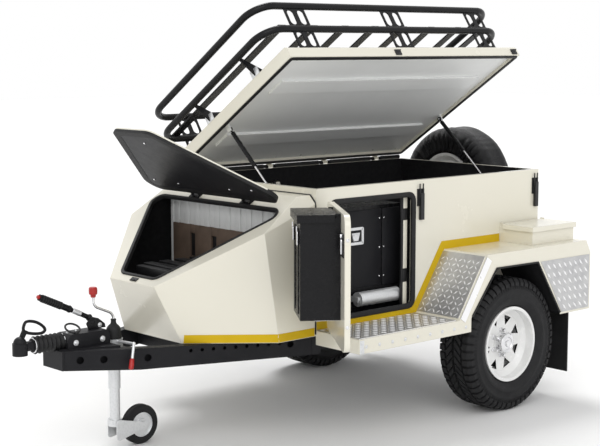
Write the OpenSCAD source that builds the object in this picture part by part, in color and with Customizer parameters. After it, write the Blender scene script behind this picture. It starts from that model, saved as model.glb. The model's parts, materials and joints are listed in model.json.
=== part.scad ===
// Off-road camper trailer: a hollow tub with two side doors, a wedge nose with a hatch,
// a hinged lid that carries a rack, an A-frame drawbar and two wheels on a leaf-sprung axle.
// Drawn from the ground under the axle, x to the rear, y to the trailer's right, z up,
// and then set with the coupling ball's centre at the origin. Millimetres and degrees.

/* [Tub] */
// Length of the tub
tub_l = 1758; // [1500:1:2000]
// Share of the tub's length ahead of the axle
axle_share = 0.6832; // [0.6:0.0001:0.75]
// Width of the tub
tub_w = 1100; // [1000:1:1120]
// Height of the tub's top edge above the ground
tub_top = 1278; // [1240:1:1400]
// Height of the floor's underside above the ground
floor_z = 534; // [525:1:545]
// Thickness of the floor
floor_t = 22; // [15:1:28]
// Thickness of the tub's walls
wall_t = 28; // [18:1:34]

/* [Doors] */
// Distance of the opening's rear edge from the fender's slope
opening_gap = 23; // [15:1:120]
// Height of a door opening
opening_h = 603; // [500:1:620]
// Distance of the opening's front edge from the tub's front
opening_set = 96; // [85:1:120]
// Height of the opening's sill above the floor's underside
opening_sill = 70; // [60:1:80]
// Corner radius of the opening
opening_r = 40; // [20:1:80]
// Thickness of a door
door_t = 28; // [18:1:34]
// Overlap of the door on the wall round the opening
door_lap = 14; // [8:1:20]
// Gap between the closed door and the wall
door_gap = 12; // [10:1:16]
// Angle at which the left door stands open
door_open = 126; // [90:1:128]

/* [Can boxes] */
// Distance of the can box from the door's hinged edge
can_set = 228; // [180:1:280]
// Depth of the can box
can_d = 190; // [150:1:200]
// Height of the can box
can_h = 480; // [400:1:490]
// Wall of the can box
can_wall = 6; // [3:1:10]
// Distance of the can box from the door's free edge
can_edge = 130; // [110:1:150]

/* [Nose] */
// Length of the nose ahead of the tub
nose_l = 739; // [650:1:800]
// Width of the nose at its tip
nose_tip_w = 376; // [320:1:420]
// Height of the nose's tip above the ground
nose_tip_z = 824; // [790:1:860]
// Width of the nose's foot
nose_foot_w = 488; // [440:1:520]
// Set-back of the nose's foot from its tip
nose_foot_set = 127; // [90:1:150]
// Height of the nose's flat deck below the tub's top edge
nose_deck_drop = 32; // [25:1:45]
// Thickness of the nose's shell
nose_wall = 16; // [10:1:24]
// Angle at which the hatch stands open
hatch_open = 66; // [45:1:75]

/* [Lid] */
// Height of the lid
lid_h = 65; // [58:1:120]
// Overhang of the lid beyond the tub on its free side
lid_over = 36; // [25:1:50]
// Gap between the tub's top edge and the lid's underside
lid_gap = 19; // [14:1:26]
// Thickness of the lid's skirt
lid_skirt = 30; // [20:1:40]
// Thickness of the lid's top panel
lid_top_t = 14; // [8:1:20]
// Angle at which the lid stands open
lid_open = 33.6; // [25:0.1:35]

/* [Rack] */
// Outer diameter of the rack's tubes
rack_tube_d = 38; // [28:1:42]
// Overhang of the rack ahead of the lid, to the middle of its tube
rack_front_over = 60; // [-40:1:80]
// Set-in of the rack's rear tube from the lid's rear edge
rack_rear_set = 34; // [20:1:80]
// Set-in of the rack's side tubes from the lid's edges
rack_side_set = 25; // [20:1:60]
// Radius of the rack's corners
rack_r = 125; // [80:1:160]
// Height of the lower loop above the lid's underside
rack_low = 185; // [170:1:200]
// Height of the upper loop above the lid's underside
rack_high = 325; // [300:1:360]
// Number of slats across the rack
slat_count = 8; // [5:1:10]
// Width of a slat
slat_w = 52; // [40:1:70]

/* [Fenders] */
// Width of a fender
fender_w = 310; // [302:1:340]
// Height of the fender's top above the ground
fender_z = 887; // [875:1:900]
// Height of the step ledge above the ground
ledge_z = 562; // [558:1:570]
// Height of the ledge's outer flange
ledge_flange = 72; // [50:1:100]
// Overhang of the fender behind the tub
fender_over = 95; // [73:1:120]
// Height of the fender's rear lower edge above the ground
fender_low = 489; // [480:1:500]
// Thickness of the fender's sheet
fender_t = 6; // [4:1:8]
// Length of the box on the fender's rear
fender_box_l = 370; // [300:1:390]
// Height of the box on the fender's rear
fender_box_h = 101; // [80:1:130]
// Width of the box on the fender's rear
fender_box_w = 235; // [200:1:250]

/* [Wheels] */
// Diameter of the tyres
tyre_d = 733; // [700:1:740]
// Width of the tyres
tyre_w = 235; // [215:1:240]
// Diameter of the rim's flange
flange_d = 414; // [400:1:430]
// Gap between the tub and a tyre
tyre_gap = 58.5; // [50:0.5:64]

/* [Drawbar] */
// Distance of the coupling ball from the tub
drawbar_l = 1375; // [1300:1:1500]
// Height of the coupling ball above the ground
ball_z = 573; // [565:1:585]
// Radius of the ball socket
ball_r = 25.2; // [20:0.1:30]
// Distance of the drawbar's front from the coupling ball
drawbar_set = 176; // [150:1:210]
// Half width of the drawbar at its front
rail_front_half = 78; // [70:1:90]
// Set-in of the drawbar's rails from the tub's side where they meet it
rail_rear_set = 30; // [28:1:100]
// Width of a drawbar rail's flange
rail_w = 50; // [40:1:56]
// Height of a drawbar rail under the tub
rail_h = 100; // [80:1:104]

/* [Jockey wheel] */
// Distance of the jockey tube from the coupling ball
jockey_set = 528; // [520:1:556]
// Outer diameter of the jockey sleeve
sleeve_d = 60; // [54:1:66]
// Diameter of the jockey wheel
jockey_d = 200; // [180:2:220]
// Width of the jockey wheel
jockey_w = 60; // [45:1:70]
// Trail of the jockey wheel behind its tube
jockey_trail = 148; // [120:1:160]

/* [Spare wheel] */
// Radius of the spare wheel's cover
cover_r = 370; // [367:1:380]
// Depth of the spare wheel's cover
cover_d = 250; // [240:1:270]
// Height of the spare wheel's centre above the ground
spare_z = 1120; // [1050:1:1180]
// Distance of the spare wheel's centre to the right of the middle
spare_y = 210; // [0:1:230]

/* [Hidden] */
$fn = 48;

cut = 1;            // overrun of every cut
fit = 0.3;          // running clearance at pins and seats
clear = 6;          // clearance round a moving panel

tub_half = tub_w / 2;
tub_front = round(tub_l * axle_share);
tub_rear = tub_l - tub_front;
ball_back = tub_front + drawbar_l;
drawbar_front = ball_back - drawbar_set;
fender_half = tub_half + fender_w;
fender_rear = tub_rear + fender_over;
slope_foot = 467;
wall_z = floor_z + floor_t;
axle_z = tyre_d / 2;

// Hinges: a pin between two end knuckles on a plate, round which a middle knuckle turns
hinge_r = 10;
hinge_pin_r = 5;
hinge_l = 84;
hinge_plate_t = 4;
hinge_plate_w = 44;
hinge_knuckle_share = 0.26;

// Door openings and doors
opening_x = opening_set - tub_front;
opening_w = -slope_foot - opening_gap - opening_x;
sill_z = floor_z + opening_sill;
door_axis_x = opening_x - door_lap - hinge_r - door_gap / 2;
door_axis_y = tub_half + door_gap + door_t / 2;
door_x0 = opening_x - door_lap;
door_x1 = opening_x + opening_w + door_lap;
door_drop = 12;
door_z0 = sill_z - door_lap - door_drop;
door_z1 = sill_z + opening_h + door_lap;
door_r = opening_r + door_lap;
door_hinge_set = 110;
door_face = tub_half + door_gap + door_t;

// Can boxes on the doors
can_x1 = door_x1 - can_edge;
can_x0 = door_x0 + can_set;
can_w = can_x1 - can_x0;
can_lid_t = 12;
can_lid_lip = 26;
can_lid_play = 5;
can_z1 = door_z1 - can_lid_t - can_lid_play - hinge_r;
can_z0 = can_z1 - can_h;
can_axis_y = door_face + hinge_r + clear / 2;
can_axis_z = can_z1 + can_lid_play + can_lid_t / 2;
can_ear_t = 8;
can_rib_w = 22;
can_rib_t = 5;

// Nose: tip, foot, the shoulder where the top's edge meets the tub's width, and the deck
nose_tip_x = -tub_front - nose_l;
nose_foot_x = nose_tip_x + nose_foot_set;
nose_foot_z = floor_z;
nose_deck_z = tub_top - nose_deck_drop;
nose_deck_l = 90;
nose_edge_r = 14;
nose_slope = atan2(nose_deck_z - nose_tip_z, nose_l - nose_deck_l);
nose_shoulder_share = 0.62;
nose_deck_in = 38;
nose_flat_l = 245;
nose_bead = 6;
nose_seat = 0.8;
hatch_front_set = 52;
hatch_rear_gap = 114;
hatch_rear_set = round(norm([nose_l - nose_deck_l, nose_deck_z - nose_tip_z]) - hatch_rear_gap);
hatch_front_half = 140;
hatch_side_set = 50;
hatch_rear_half = tub_half - hatch_side_set;
hatch_corner_r = 55;
hatch_lap = 16;
hatch_t = 22;
hatch_gap = 9;
hatch_axis_set = hatch_rear_set + hatch_lap + hinge_r + clear;
hatch_axis_h = hatch_gap + hatch_t / 2 + nose_bead;
hatch_hinge_y = 210;

// Lid and its hinge line along the tub's right wall
lid_front_over = 24;
lid_rear_over = 6;
lid_x0 = -tub_front - lid_front_over;
lid_x1 = tub_rear + lid_rear_over;
lid_z = tub_top + lid_gap;
lid_y0 = -tub_half - lid_over;
lid_y1 = tub_half;
lid_axis_y = tub_half + hinge_r + hinge_plate_t;
lid_axis_z = tub_top + lid_gap / 2;
lid_edge_r = 22;
lid_hinge_count = 4;
liner_t = 6;
liner_set = 16;
liner_rib_w = 120;
liner_rib_h = 14;
liner_rib_count = 2;
lid_strut_set = 460;

// Rack on the lid
rack_tube_r = rack_tube_d / 2;
rack_x0 = lid_x0 - rack_front_over;
rack_l = lid_x1 - rack_rear_set - rack_x0;
rack_y0 = lid_y0 + rack_side_set;
rack_w = lid_y1 - lid_y0 - 2 * rack_side_set;
rack_plate_t = 6;
rack_plate_w = 140;
rack_plate_shares = [0.136, 0.523, 0.899];
rack_slot_w = 42;
rack_slot_edge = 26;
slat_t = 8;
rack_foot_l = 60;
rack_foot_t = 5;

// Gas struts: barrel eye on the lid, rod eye on a stud in the tub
strut_r = 12;
strut_rod_r = 5;
strut_bore_r = 6;
strut_barrel_l = 272;
strut_neck = 26;
strut_cap = 8;
strut_keep = 28;
strut_stud_y = -200;
strut_stud_drop = 88;
strut_set = 24;
strut_eye_r = 13;
strut_eye_t = 10;
strut_pin_r = 5;
strut_front_x = -tub_front + wall_t + strut_set;
strut_rear_x = tub_rear - wall_t - strut_set;

// Fender outline, as distances from the axle
slope_head = 248;
fender_chamfer_l = 40;
fender_chamfer_x = fender_rear - fender_chamfer_l;
fender_chamfer_z = 817;
arch_foot = 367;
arch_foot_z = 572;
arch_head = 174;
arch_head_z = 809;
arch_rear = 175;
arch_rear_z = 806;
arch_end = 381;
arch_end_z = 500;
ledge_half = fender_half;
tread_t = 3;
tread_margin = 12;
tread_flange = 45;
box_wall = 6;
box_rear_gap = 25;
box_lid_t = 8;
box_lid_lip = 20;
box_lid_play = 5;
box_x1 = fender_chamfer_x - box_rear_gap;
box_x0 = box_x1 - fender_box_l;
box_y0 = tub_half + fit;
box_y1 = box_y0 + fender_box_w;
box_z1 = fender_z + fender_box_h - box_lid_t - box_lid_play;
box_axis_y = tub_half + hinge_r + clear;
box_axis_z = box_z1 + box_lid_play + box_lid_t / 2;
box_ear_t = 8;
flap_x = 470;
flap_t = 8;
flap_w = 225;
flap_low = 145;
lamp_w = 190;
lamp_h = 90;
lamp_d = 26;
lamp_z = 640;
lamp_r = 16;

// Latches along the tub's left top edge
latch_w = 52;
latch_h = 92;
latch_d = 20;
latch_drop = 48;
latch_set = 47;
latch_lever_l = 165;
latch_front_x = opening_x + opening_w + latch_set;
latch_rear_in = 34;

// Wheels
tyre_r = tyre_d / 2;
flange_r = flange_d / 2;
wheel_y = tub_half + tyre_gap + tyre_w / 2;
rim_w = 196;
rim_bead_r = 190;
rim_well_r = 162;
rim_t = 7;
flange_t = 10;
spoke_count = 8;
window_at = 124;
window_l = 26;
window_half = 30;
disc_t = 12;
disc_set = 26;
hub_r = 62;
hub_cap_r = 44;
hub_cap_l = 62;
drum_r = 140;
drum_l = 90;
spindle_r = 24;
tread_depth = 12;
groove_w = 10;
shoulder_r = 26;

// Axle, springs and ladder frame
axle_w = 60;
axle_over = 10;
axle_half = tub_half + axle_over;
spindle_l = 168;
chassis_in = 130;
chassis_half = tub_half - chassis_in;
chassis_w = 60;
cross_w = 60;
cross_half = tub_half - wall_t;
mid_cross_x = (tub_rear - tub_front - cross_w) / 2;
spring_w = 50;
spring_out = 60;
spring_half = chassis_half + spring_out;
spring_r = 1500;
spring_r_half = 420;
leaf_t = 8;
leaf_count = 4;
eye_r = 19;
spring_gap = 39;
leaf_half = tub_rear - cross_w - spring_gap - 2 * eye_r;
leaf_step_shares = [3, 14];
leaf_step = leaf_half * leaf_step_shares[0] / leaf_step_shares[1];
leaf_bend_r = spring_r * pow(leaf_half / spring_r_half, 2);
eye_pin_r = 10;
pad_l = 100;
pad_h = 14;
clamp_t = 10;

// Drawbar rails
rail_z0 = floor_z - rail_h;
rail_rear_half = tub_half - rail_rear_set;
rail_rise = (rail_rear_half - rail_front_half) / (drawbar_front - tub_front);
rail_a = atan(rail_rise);
rail_len = (drawbar_front - tub_front) / cos(rail_a);
rail_front_z0 = 463;
rail_front_z1 = 552;
rail_knee_share = 0.44;
rail_dip_share = 0.3;
rail_web = 8;
rail_flange = 9;
rail_hole_r = 18;
rail_hole_shares = [0.07, 0.16, 0.33];
row_hole_r = 9;
row_hole_count = 9;
row_start_share = 0.5;
row_step = 58;
end_hole_r = 17;
head_t = 14;
head_lip = 3;
head_half = rail_front_half + head_t / 2;
tie_l = 110;
tie_t = 12;
tie_z = 500;
tie_in = (rail_w - rail_web / 2) / cos(rail_a);
tie_rear_set = 876;
tie_rear_x = tie_rear_set - ball_back;

// Coupling, its gaiter and overrun housing
head_r = 36;
head_dome_r = 31;
head_up = 34;
head_down = 24;
socket_top = 22;
shaft_r = 24;
shaft_z = 587;
gaiter_set = 65;
gaiter_l = 165;
gaiter_x0 = gaiter_set - ball_back;
gaiter_x1 = gaiter_x0 + gaiter_l;
gaiter_r = 43;
gaiter_valley_r = 33;
gaiter_pleats = 7;
housing_set = 472;
housing_x1 = housing_set - ball_back;
housing_half = 52;
housing_z1 = 620;
housing_foot = 20;
handle_loop = [[22, 662], [30, 702], [88, 690], [136, 646]];
handle_arm = [[-10, 620], [14, 620], [40, 664], [18, 672]];
handle_arm_t = 9;
handle_r = 7;
handle_knob_r = 8;
lever_y = 26;
lever_r = 12;
grip_r = 18;
lever_places = [[448, 0], [405, 673], [291, 730], [126, 806]];
lever_boss_r = 16;
lever_pivot = [lever_places[0].x - ball_back, lever_y, housing_z1 + fit + lever_boss_r];
lever_bend = [lever_places[1].x - ball_back, lever_y, lever_places[1].y];
lever_knee = [lever_places[2].x - ball_back, lever_y, lever_places[2].y];
lever_tip = [lever_places[3].x - ball_back, lever_y, lever_places[3].y];
ring_r = 38;
ring_wire_r = 6;
ring_tilt = 32;
ring_set = 291;
ring_y = -34;

// Jockey leg, fork and crank
sleeve_r = sleeve_d / 2;
sleeve_wall = 4;
leg_r = sleeve_r - sleeve_wall;
leg_wall = 4;
sleeve_z0 = 308;
sleeve_z1 = 592;
leg_z0 = 152;
leg_z1 = 425;
leg_x = jockey_set - ball_back;
collar_r = 44;
collar_h = 46;
boot_r = 40;
boot_mid_r = 36;
boot_top_r = 14;
boot_z0 = tie_z + tie_t + collar_h + fit;
boot_mid_z = 602;
boot_z1 = 650;
crank_r = 7;
crank_boss_r = 9.5;
crank_lean = 6;
crank_reach = 116;
crank_top = [leg_x - crank_lean, 0, 676];
crank_elbow = [leg_x - crank_reach, 0, 722];
crank_knob_z0 = 777;
crank_knob_z1 = 826;
crank_knob_r = 21;
clamp_root = [0, -36, 549];
clamp_bend = [-30, -212, 567];
clamp_end = [-66, -236, 452];
clamp_boss_r = 9;
clamp_lever_r = 7;
swivel_r = 34;
swivel_h = 34;
fork_t = 6;
fork_low = 66;
fork_gap = 6;
jockey_axle_r = 8;
jockey_rim_share = 0.62;

// Spare wheel on the rear wall
spare_gap = 34;
spare_x = tub_rear + spare_gap;
cover_edge_r = 70;
cover_mouth_r = 236;
carrier_w = 220;
carrier_t = 12;
carrier_boss_r = 60;

// Cabinet and roll behind the left door
cabinet_t = 14;
cabinet_side = 96;
cabinet_top_drop = 130;
cabinet_share = 1.04;
cabinet_x1 = opening_x + opening_w * cabinet_share;
roll_r = 38;
roll_l = 290;
roll_set = 75;
roll_core_r = 14;
roll_up = 62;
roll_z = sill_z + roll_up;
roll_plate_t = 5;

// Sets the drawing with the coupling ball at the origin
module place() {
    translate([ball_back, 0, -ball_z]) children();
}

// A part and its mirror image on the other side of the trailer
module pair() {
    children();
    mirror([0, 1, 0]) children();
}

// Extrudes an outline drawn in x and z from y0 to y1
module along_y(y0, y1) {
    translate([0, y1, 0]) rotate([90, 0, 0]) linear_extrude(y1 - y0) children();
}

// Extrudes an outline drawn in y and z from x0 to x1
module along_x(x0, x1) {
    translate([x0, 0, 0]) rotate([90, 0, 90]) linear_extrude(x1 - x0) children();
}

// A box between two opposite corners
module box(p, q) {
    translate(p) cube(q - p);
}

// A round bar between two points
module rod(p, q, r) {
    d = q - p;
    translate(p) rotate([0, acos(d.z / norm(d)), atan2(d.y, d.x)]) cylinder(h = norm(d), r = r);
}

// A cylinder along y between two distances
module shaft_y(x, z, y0, y1, r) {
    translate([x, y1, z]) rotate([90, 0, 0]) cylinder(h = y1 - y0, r = r);
}

// A cylinder along x between two distances
module shaft_x(y, z, x0, x1, r) {
    translate([x0, y, z]) rotate([0, 90, 0]) cylinder(h = x1 - x0, r = r);
}

// A rectangle with rounded corners, from its lower to its upper corner
module round_rect(p, q, r) {
    translate([p.x + r, p.y]) square([q.x - p.x - 2 * r, q.y - p.y]);
    translate([p.x, p.y + r]) square([q.x - p.x, q.y - p.y - 2 * r]);
    for (x = [p.x + r, q.x - r], y = [p.y + r, q.y - r]) translate([x, y]) circle(r);
}

// Fixed half of a hinge, its axis along z, with the wall at distance w along y
module hinge_base(w) {
    cylinder(h = hinge_l, r = hinge_pin_r, center = true);
    knuckle_l = hinge_l * hinge_knuckle_share;
    for (s = [-1, 1]) translate([0, 0, s * (hinge_l - knuckle_l) / 2]) {
        cylinder(h = knuckle_l, r = hinge_r, center = true);
        translate([-hinge_plate_t / 2, 0, -knuckle_l / 2]) cube([hinge_plate_t, w, knuckle_l]);
    }
    translate([-hinge_plate_w / 2, w - hinge_plate_t, -hinge_l / 2])
        cube([hinge_plate_w, hinge_plate_t, hinge_l]);
}

// Moving half of a hinge: a knuckle round the pin and a leaf of length l along x
module hinge_leaf(l) {
    leaf_h = hinge_l * (1 - 2 * hinge_knuckle_share) - 2 * fit;
    difference() {
        union() {
            cylinder(h = leaf_h, r = hinge_r, center = true);
            translate([0, -hinge_plate_t / 2, -leaf_h / 2]) cube([l, hinge_plate_t, leaf_h]);
        }
        cylinder(h = leaf_h + 2 * cut, r = hinge_pin_r + fit, center = true);
    }
}

// Where each moving panel turns
module turn_door(a) {
    translate([door_axis_x, -door_axis_y, 0]) rotate([0, 0, -a])
        translate([-door_axis_x, door_axis_y, 0]) children();
}
module turn_lid(a) {
    translate([0, lid_axis_y, lid_axis_z]) rotate([-a, 0, 0])
        translate([0, -lid_axis_y, -lid_axis_z]) children();
}

// The plane of the nose's top: x runs up the slope from the tip, z stands off the surface
module on_slope() {
    translate([nose_tip_x, 0, nose_tip_z]) rotate([0, -nose_slope, 0]) children();
}
module turn_hatch(a) {
    translate([hatch_axis_set, 0, hatch_axis_h]) rotate([0, a, 0])
        translate([-hatch_axis_set, 0, -hatch_axis_h]) children();
}

// Distance of a drawbar rail's outer face from the middle at a place along x
function rail_half(x) = rail_front_half + (x + drawbar_front) * rail_rise;

// Side outline of a drawbar rail, drawn in from its edges by e
function rail_side(e) = [
    [-rail_w, rail_front_z0 + e], [rail_len * rail_dip_share, rail_z0 + e],
    [rail_len + rail_w, rail_z0 + e], [rail_len + rail_w, floor_z - e],
    [rail_len * rail_knee_share, floor_z - e], [-rail_w, rail_front_z1 - e],
];

// Height of a drawbar rail's middle at a share of its length
function rail_mid(s) = floor_z - rail_h / 2
    + ((rail_front_z0 + rail_front_z1) / 2 - floor_z + rail_h / 2) * max(0, 1 - s / rail_knee_share);

module drawbar_rail() {
    row_z = floor_z - rail_flange - 2 * row_hole_r;
    intersection() {
        translate([-drawbar_front, -rail_front_half, 0]) rotate([0, 0, -rail_a]) difference() {
            along_y(0, rail_w) polygon(rail_side(0));
            along_y(rail_web, rail_w - rail_web) polygon(rail_side(rail_flange));
            for (s = rail_hole_shares)
                shaft_y(rail_len * s, rail_mid(s), -cut, rail_web + cut, rail_hole_r);
            for (i = [0 : row_hole_count - 1])
                shaft_y(rail_len * row_start_share + i * row_step, row_z, -cut, rail_web + cut, row_hole_r);
            shaft_y(rail_len * row_start_share + row_hole_count * row_step, row_z - end_hole_r / 2,
                -cut, rail_web + cut, end_hole_r);
        }
        box([-drawbar_front + head_t / 2, -tub_half, 0], [-tub_front, tub_half, tub_top]);
    }
}

// A cross plate between the drawbar rails from x0 to x1
module drawbar_tie(x0, x1, z0, z1) {
    translate([0, 0, z0]) linear_extrude(z1 - z0) polygon([
        [x0, -rail_half(x0) + tie_in], [x1, -rail_half(x1) + tie_in],
        [x1, rail_half(x1) - tie_in], [x0, rail_half(x0) - tie_in],
    ]);
}

module drawbar() {
    color("dimgray") difference() {
        union() {
            pair() drawbar_rail();
            box([-drawbar_front, -head_half, rail_front_z0 - head_lip],
                [-drawbar_front + head_t, head_half, rail_front_z1]);
            drawbar_tie(-drawbar_front + head_t / 2, housing_x1, rail_front_z1 - tie_t, rail_front_z1);
            drawbar_tie(leg_x - tie_l / 2, leg_x + tie_l / 2, tie_z, tie_z + tie_t);
            drawbar_tie(tie_rear_x, tie_rear_x + cross_w, rail_z0 + rail_flange / 2,
                floor_z - rail_flange / 2);
        }
        translate([leg_x, 0, tie_z - cut]) cylinder(h = tie_t + 2 * cut, r = sleeve_r + fit);
        shaft_x(0, shaft_z, gaiter_x0, gaiter_x1 + fit, gaiter_r + fit);
    }
}

module chassis() {
    pin_y = chassis_half + chassis_w / 2;
    color("dimgray") {
        for (x = [-tub_front, tub_rear - cross_w])
            box([x, -cross_half, rail_z0], [x + cross_w, cross_half, floor_z]);
        box([mid_cross_x, -chassis_half, rail_z0], [mid_cross_x + cross_w, chassis_half, floor_z]);
        pair() {
            box([-tub_front, chassis_half - chassis_w / 2, rail_z0],
                [tub_rear, pin_y, floor_z]);
            for (s = [-1, 1]) shaft_y(s * leaf_eye_x(), leaf_eye_z(), pin_y - cut,
                spring_half + spring_w / 2 + eye_pin_r, eye_pin_r);
        }
    }
}

// Springs: leaves bent to one arc, the longest on top with an eye at each end
function spring_low() = axle_z + axle_w / 2 + pad_h;
function leaf_eye_x() = leaf_half + eye_r;
function leaf_eye_z() = spring_low() + leaf_bend_r
    - sqrt(pow(leaf_bend_r - (leaf_count - 1) * leaf_t, 2) - leaf_half * leaf_half) + eye_r - leaf_t;

module leaf(i) {
    half = leaf_half - i * leaf_step;
    r = leaf_bend_r - (leaf_count - 1 - i) * leaf_t;
    intersection() {
        translate([0, spring_low() + leaf_bend_r]) difference() {
            circle(r);
            circle(r - leaf_t - (i > 0 ? cut : 0));
        }
        translate([-half, 0]) square([2 * half, spring_low() + leaf_bend_r / 2]);
    }
}

module leaf_springs() {
    top = spring_low() + leaf_count * leaf_t;
    color("black") pair() difference() {
        union() {
            along_y(spring_half - spring_w / 2, spring_half + spring_w / 2)
                for (i = [0 : leaf_count - 1]) leaf(i);
            for (s = [-1, 1]) shaft_y(s * leaf_eye_x(), leaf_eye_z(), spring_half - spring_w / 2,
                spring_half + spring_w / 2, eye_r);
            box([-pad_l / 2, spring_half - spring_w / 2, top - leaf_t / 2],
                [pad_l / 2, spring_half + spring_w / 2 + clamp_t, top + clamp_t]);
        }
        for (s = [-1, 1]) shaft_y(s * leaf_eye_x(), leaf_eye_z(), spring_half - spring_w,
            spring_half + spring_w, eye_pin_r + fit);
    }
}

module axle() {
    color("dimgray") {
        box([-axle_w / 2, -axle_half, axle_z - axle_w / 2], [axle_w / 2, axle_half, axle_z + axle_w / 2]);
        pair() {
            shaft_y(0, axle_z, axle_half - cut, axle_half + spindle_l, spindle_r);
            box([-pad_l / 2, spring_half - spring_w / 2, axle_z + axle_w / 2 - cut],
                [pad_l / 2, spring_half + spring_w / 2, spring_low() - fit]);
        }
    }
}

module coupling_head() {
    color("dimgray") difference() {
        union() {
            translate([-ball_back, 0, ball_z - head_down]) cylinder(h = head_down + head_up, r = head_r);
            translate([-ball_back, 0, ball_z + head_up]) sphere(r = head_dome_r);
            shaft_x(0, shaft_z, -ball_back, gaiter_x1, shaft_r);
        }
        translate([-ball_back, 0, ball_z - head_down - cut])
            cylinder(h = head_down + cut + socket_top, r = ball_r);
    }
}

module coupling_gaiter() {
    pitch = (gaiter_x1 - gaiter_x0) / gaiter_pleats;
    inner = shaft_r + fit;
    color("black") translate([gaiter_x0, 0, shaft_z]) rotate([0, 90, 0]) rotate_extrude() polygon(concat(
        [[inner, 0]],
        [for (i = [0 : gaiter_pleats - 1], e = [0, 1])
            [e == 0 ? gaiter_valley_r : gaiter_r, (i + e / 2) * pitch]],
        [[gaiter_valley_r, gaiter_pleats * pitch], [inner, gaiter_pleats * pitch]]));
}

module coupling_housing() {
    color("dimgray") {
        along_y(-housing_half, housing_half) polygon([
            [gaiter_x1 + fit, rail_front_z1], [housing_x1, rail_front_z1],
            [housing_x1, housing_z1 - housing_foot], [housing_x1 - housing_foot, housing_z1],
            [gaiter_x1 + housing_foot, housing_z1], [gaiter_x1 + fit, housing_z1 - housing_foot],
        ]);
    }
}

// Loop handle on an arm that sits on the coupling head's dome
function handle_at(i) = [handle_loop[i].x - ball_back, 0, handle_loop[i].y];

module coupling_handle() {
    last = len(handle_loop) - 1;
    color("black") difference() {
        union() {
            for (i = [0 : last]) {
                rod(handle_at(i), handle_at(i < last ? i + 1 : 0), handle_r);
                translate(handle_at(i)) sphere(handle_knob_r);
            }
            translate([-ball_back, 0, 0]) along_y(-handle_arm_t / 2, handle_arm_t / 2) polygon(handle_arm);
        }
        translate([-ball_back, 0, ball_z]) cylinder(h = head_up + fit, r = head_r + fit);
        translate([-ball_back, 0, ball_z + head_up]) sphere(r = head_dome_r + fit);
    }
}

module handbrake_lever() {
    color("black") {
        rod(lever_pivot, lever_bend, lever_r);
        rod(lever_bend, lever_knee, lever_r);
        rod(lever_knee, lever_tip, grip_r - 2 * cut);
        for (p = [lever_bend, lever_knee]) translate(p) sphere(grip_r);
        shaft_y(lever_pivot.x, lever_pivot.z, lever_y - lever_boss_r, lever_y + lever_boss_r, lever_boss_r);
    }
}

module breakaway_ring() {
    z = housing_z1 + fit + ring_wire_r + ring_r * sin(ring_tilt);
    color("black") translate([ring_set - ball_back, ring_y, z]) rotate([0, ring_tilt, 0])
        rotate_extrude() translate([ring_r, 0]) circle(ring_wire_r);
}

module jockey_sleeve() {
    foot = [leg_x, 0, 0];
    color("silver") difference() {
        union() {
            translate([leg_x, 0, sleeve_z0]) cylinder(h = sleeve_z1 - sleeve_z0, r = sleeve_r);
            translate([leg_x, 0, tie_z + tie_t]) cylinder(h = collar_h, r = collar_r);
            rod(foot + clamp_root, foot + clamp_bend, clamp_lever_r);
            rod(foot + clamp_bend, foot + clamp_end, clamp_lever_r);
            translate(foot + clamp_bend) sphere(clamp_boss_r);
        }
        translate([leg_x, 0, sleeve_z0 - cut])
            cylinder(h = sleeve_z1 - sleeve_z0 + 2 * cut, r = leg_r + fit);
    }
}

module jockey_crank() {
    color("black") {
        translate([leg_x, 0, 0]) difference() {
            union() {
                translate([0, 0, boot_z0]) cylinder(h = boot_mid_z - boot_z0, r1 = boot_r, r2 = boot_mid_r);
                translate([0, 0, boot_mid_z])
                    cylinder(h = boot_z1 - boot_mid_z, r1 = boot_mid_r, r2 = boot_top_r);
            }
            translate([0, 0, boot_z0 - cut])
                cylinder(h = sleeve_z1 + fit - boot_z0 + cut, r = sleeve_r + fit);
        }
        rod([leg_x, 0, boot_z1 - boot_top_r], crank_top, crank_r);
        rod(crank_top, crank_elbow, crank_r);
        rod(crank_elbow, [crank_elbow.x, 0, crank_knob_z1 - cut], crank_r);
        for (p = [crank_top, crank_elbow]) translate(p) sphere(crank_boss_r);
        translate([crank_elbow.x, 0, crank_knob_z0])
            cylinder(h = crank_knob_z1 - crank_knob_z0, r = crank_knob_r);
    }
}

module jockey_leg() {
    color("silver") translate([leg_x, 0, leg_z0]) difference() {
        cylinder(h = leg_z1 - leg_z0, r = leg_r);
        translate([0, 0, swivel_h]) cylinder(h = leg_z1, r = leg_r - leg_wall);
    }
}

module jockey_fork() {
    axle_x = leg_x + jockey_trail;
    half = jockey_w / 2 + fork_gap;
    color("silver") {
        translate([leg_x, 0, leg_z0 - fit - swivel_h]) cylinder(h = swivel_h, r = swivel_r);
        pair() difference() {
            hull() {
                shaft_y(leg_x, leg_z0 - fit - swivel_h / 2, half, half + fork_t, swivel_h / 2);
                shaft_y(axle_x, jockey_d / 2, half, half + fork_t, swivel_h / 2);
                shaft_y(leg_x, fork_low, half, half + fork_t, swivel_h / 2);
            }
            shaft_y(axle_x, jockey_d / 2, half - cut, half + fork_t + cut, jockey_axle_r);
        }
        box([leg_x - swivel_h / 2, -half - fork_t, leg_z0 - fit - swivel_h],
            [leg_x + swivel_h / 2, half + fork_t, leg_z0 - fit - swivel_h + fork_t]);
        shaft_y(axle_x, jockey_d / 2, -half - fork_t, half + fork_t, jockey_axle_r);
    }
}

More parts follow.
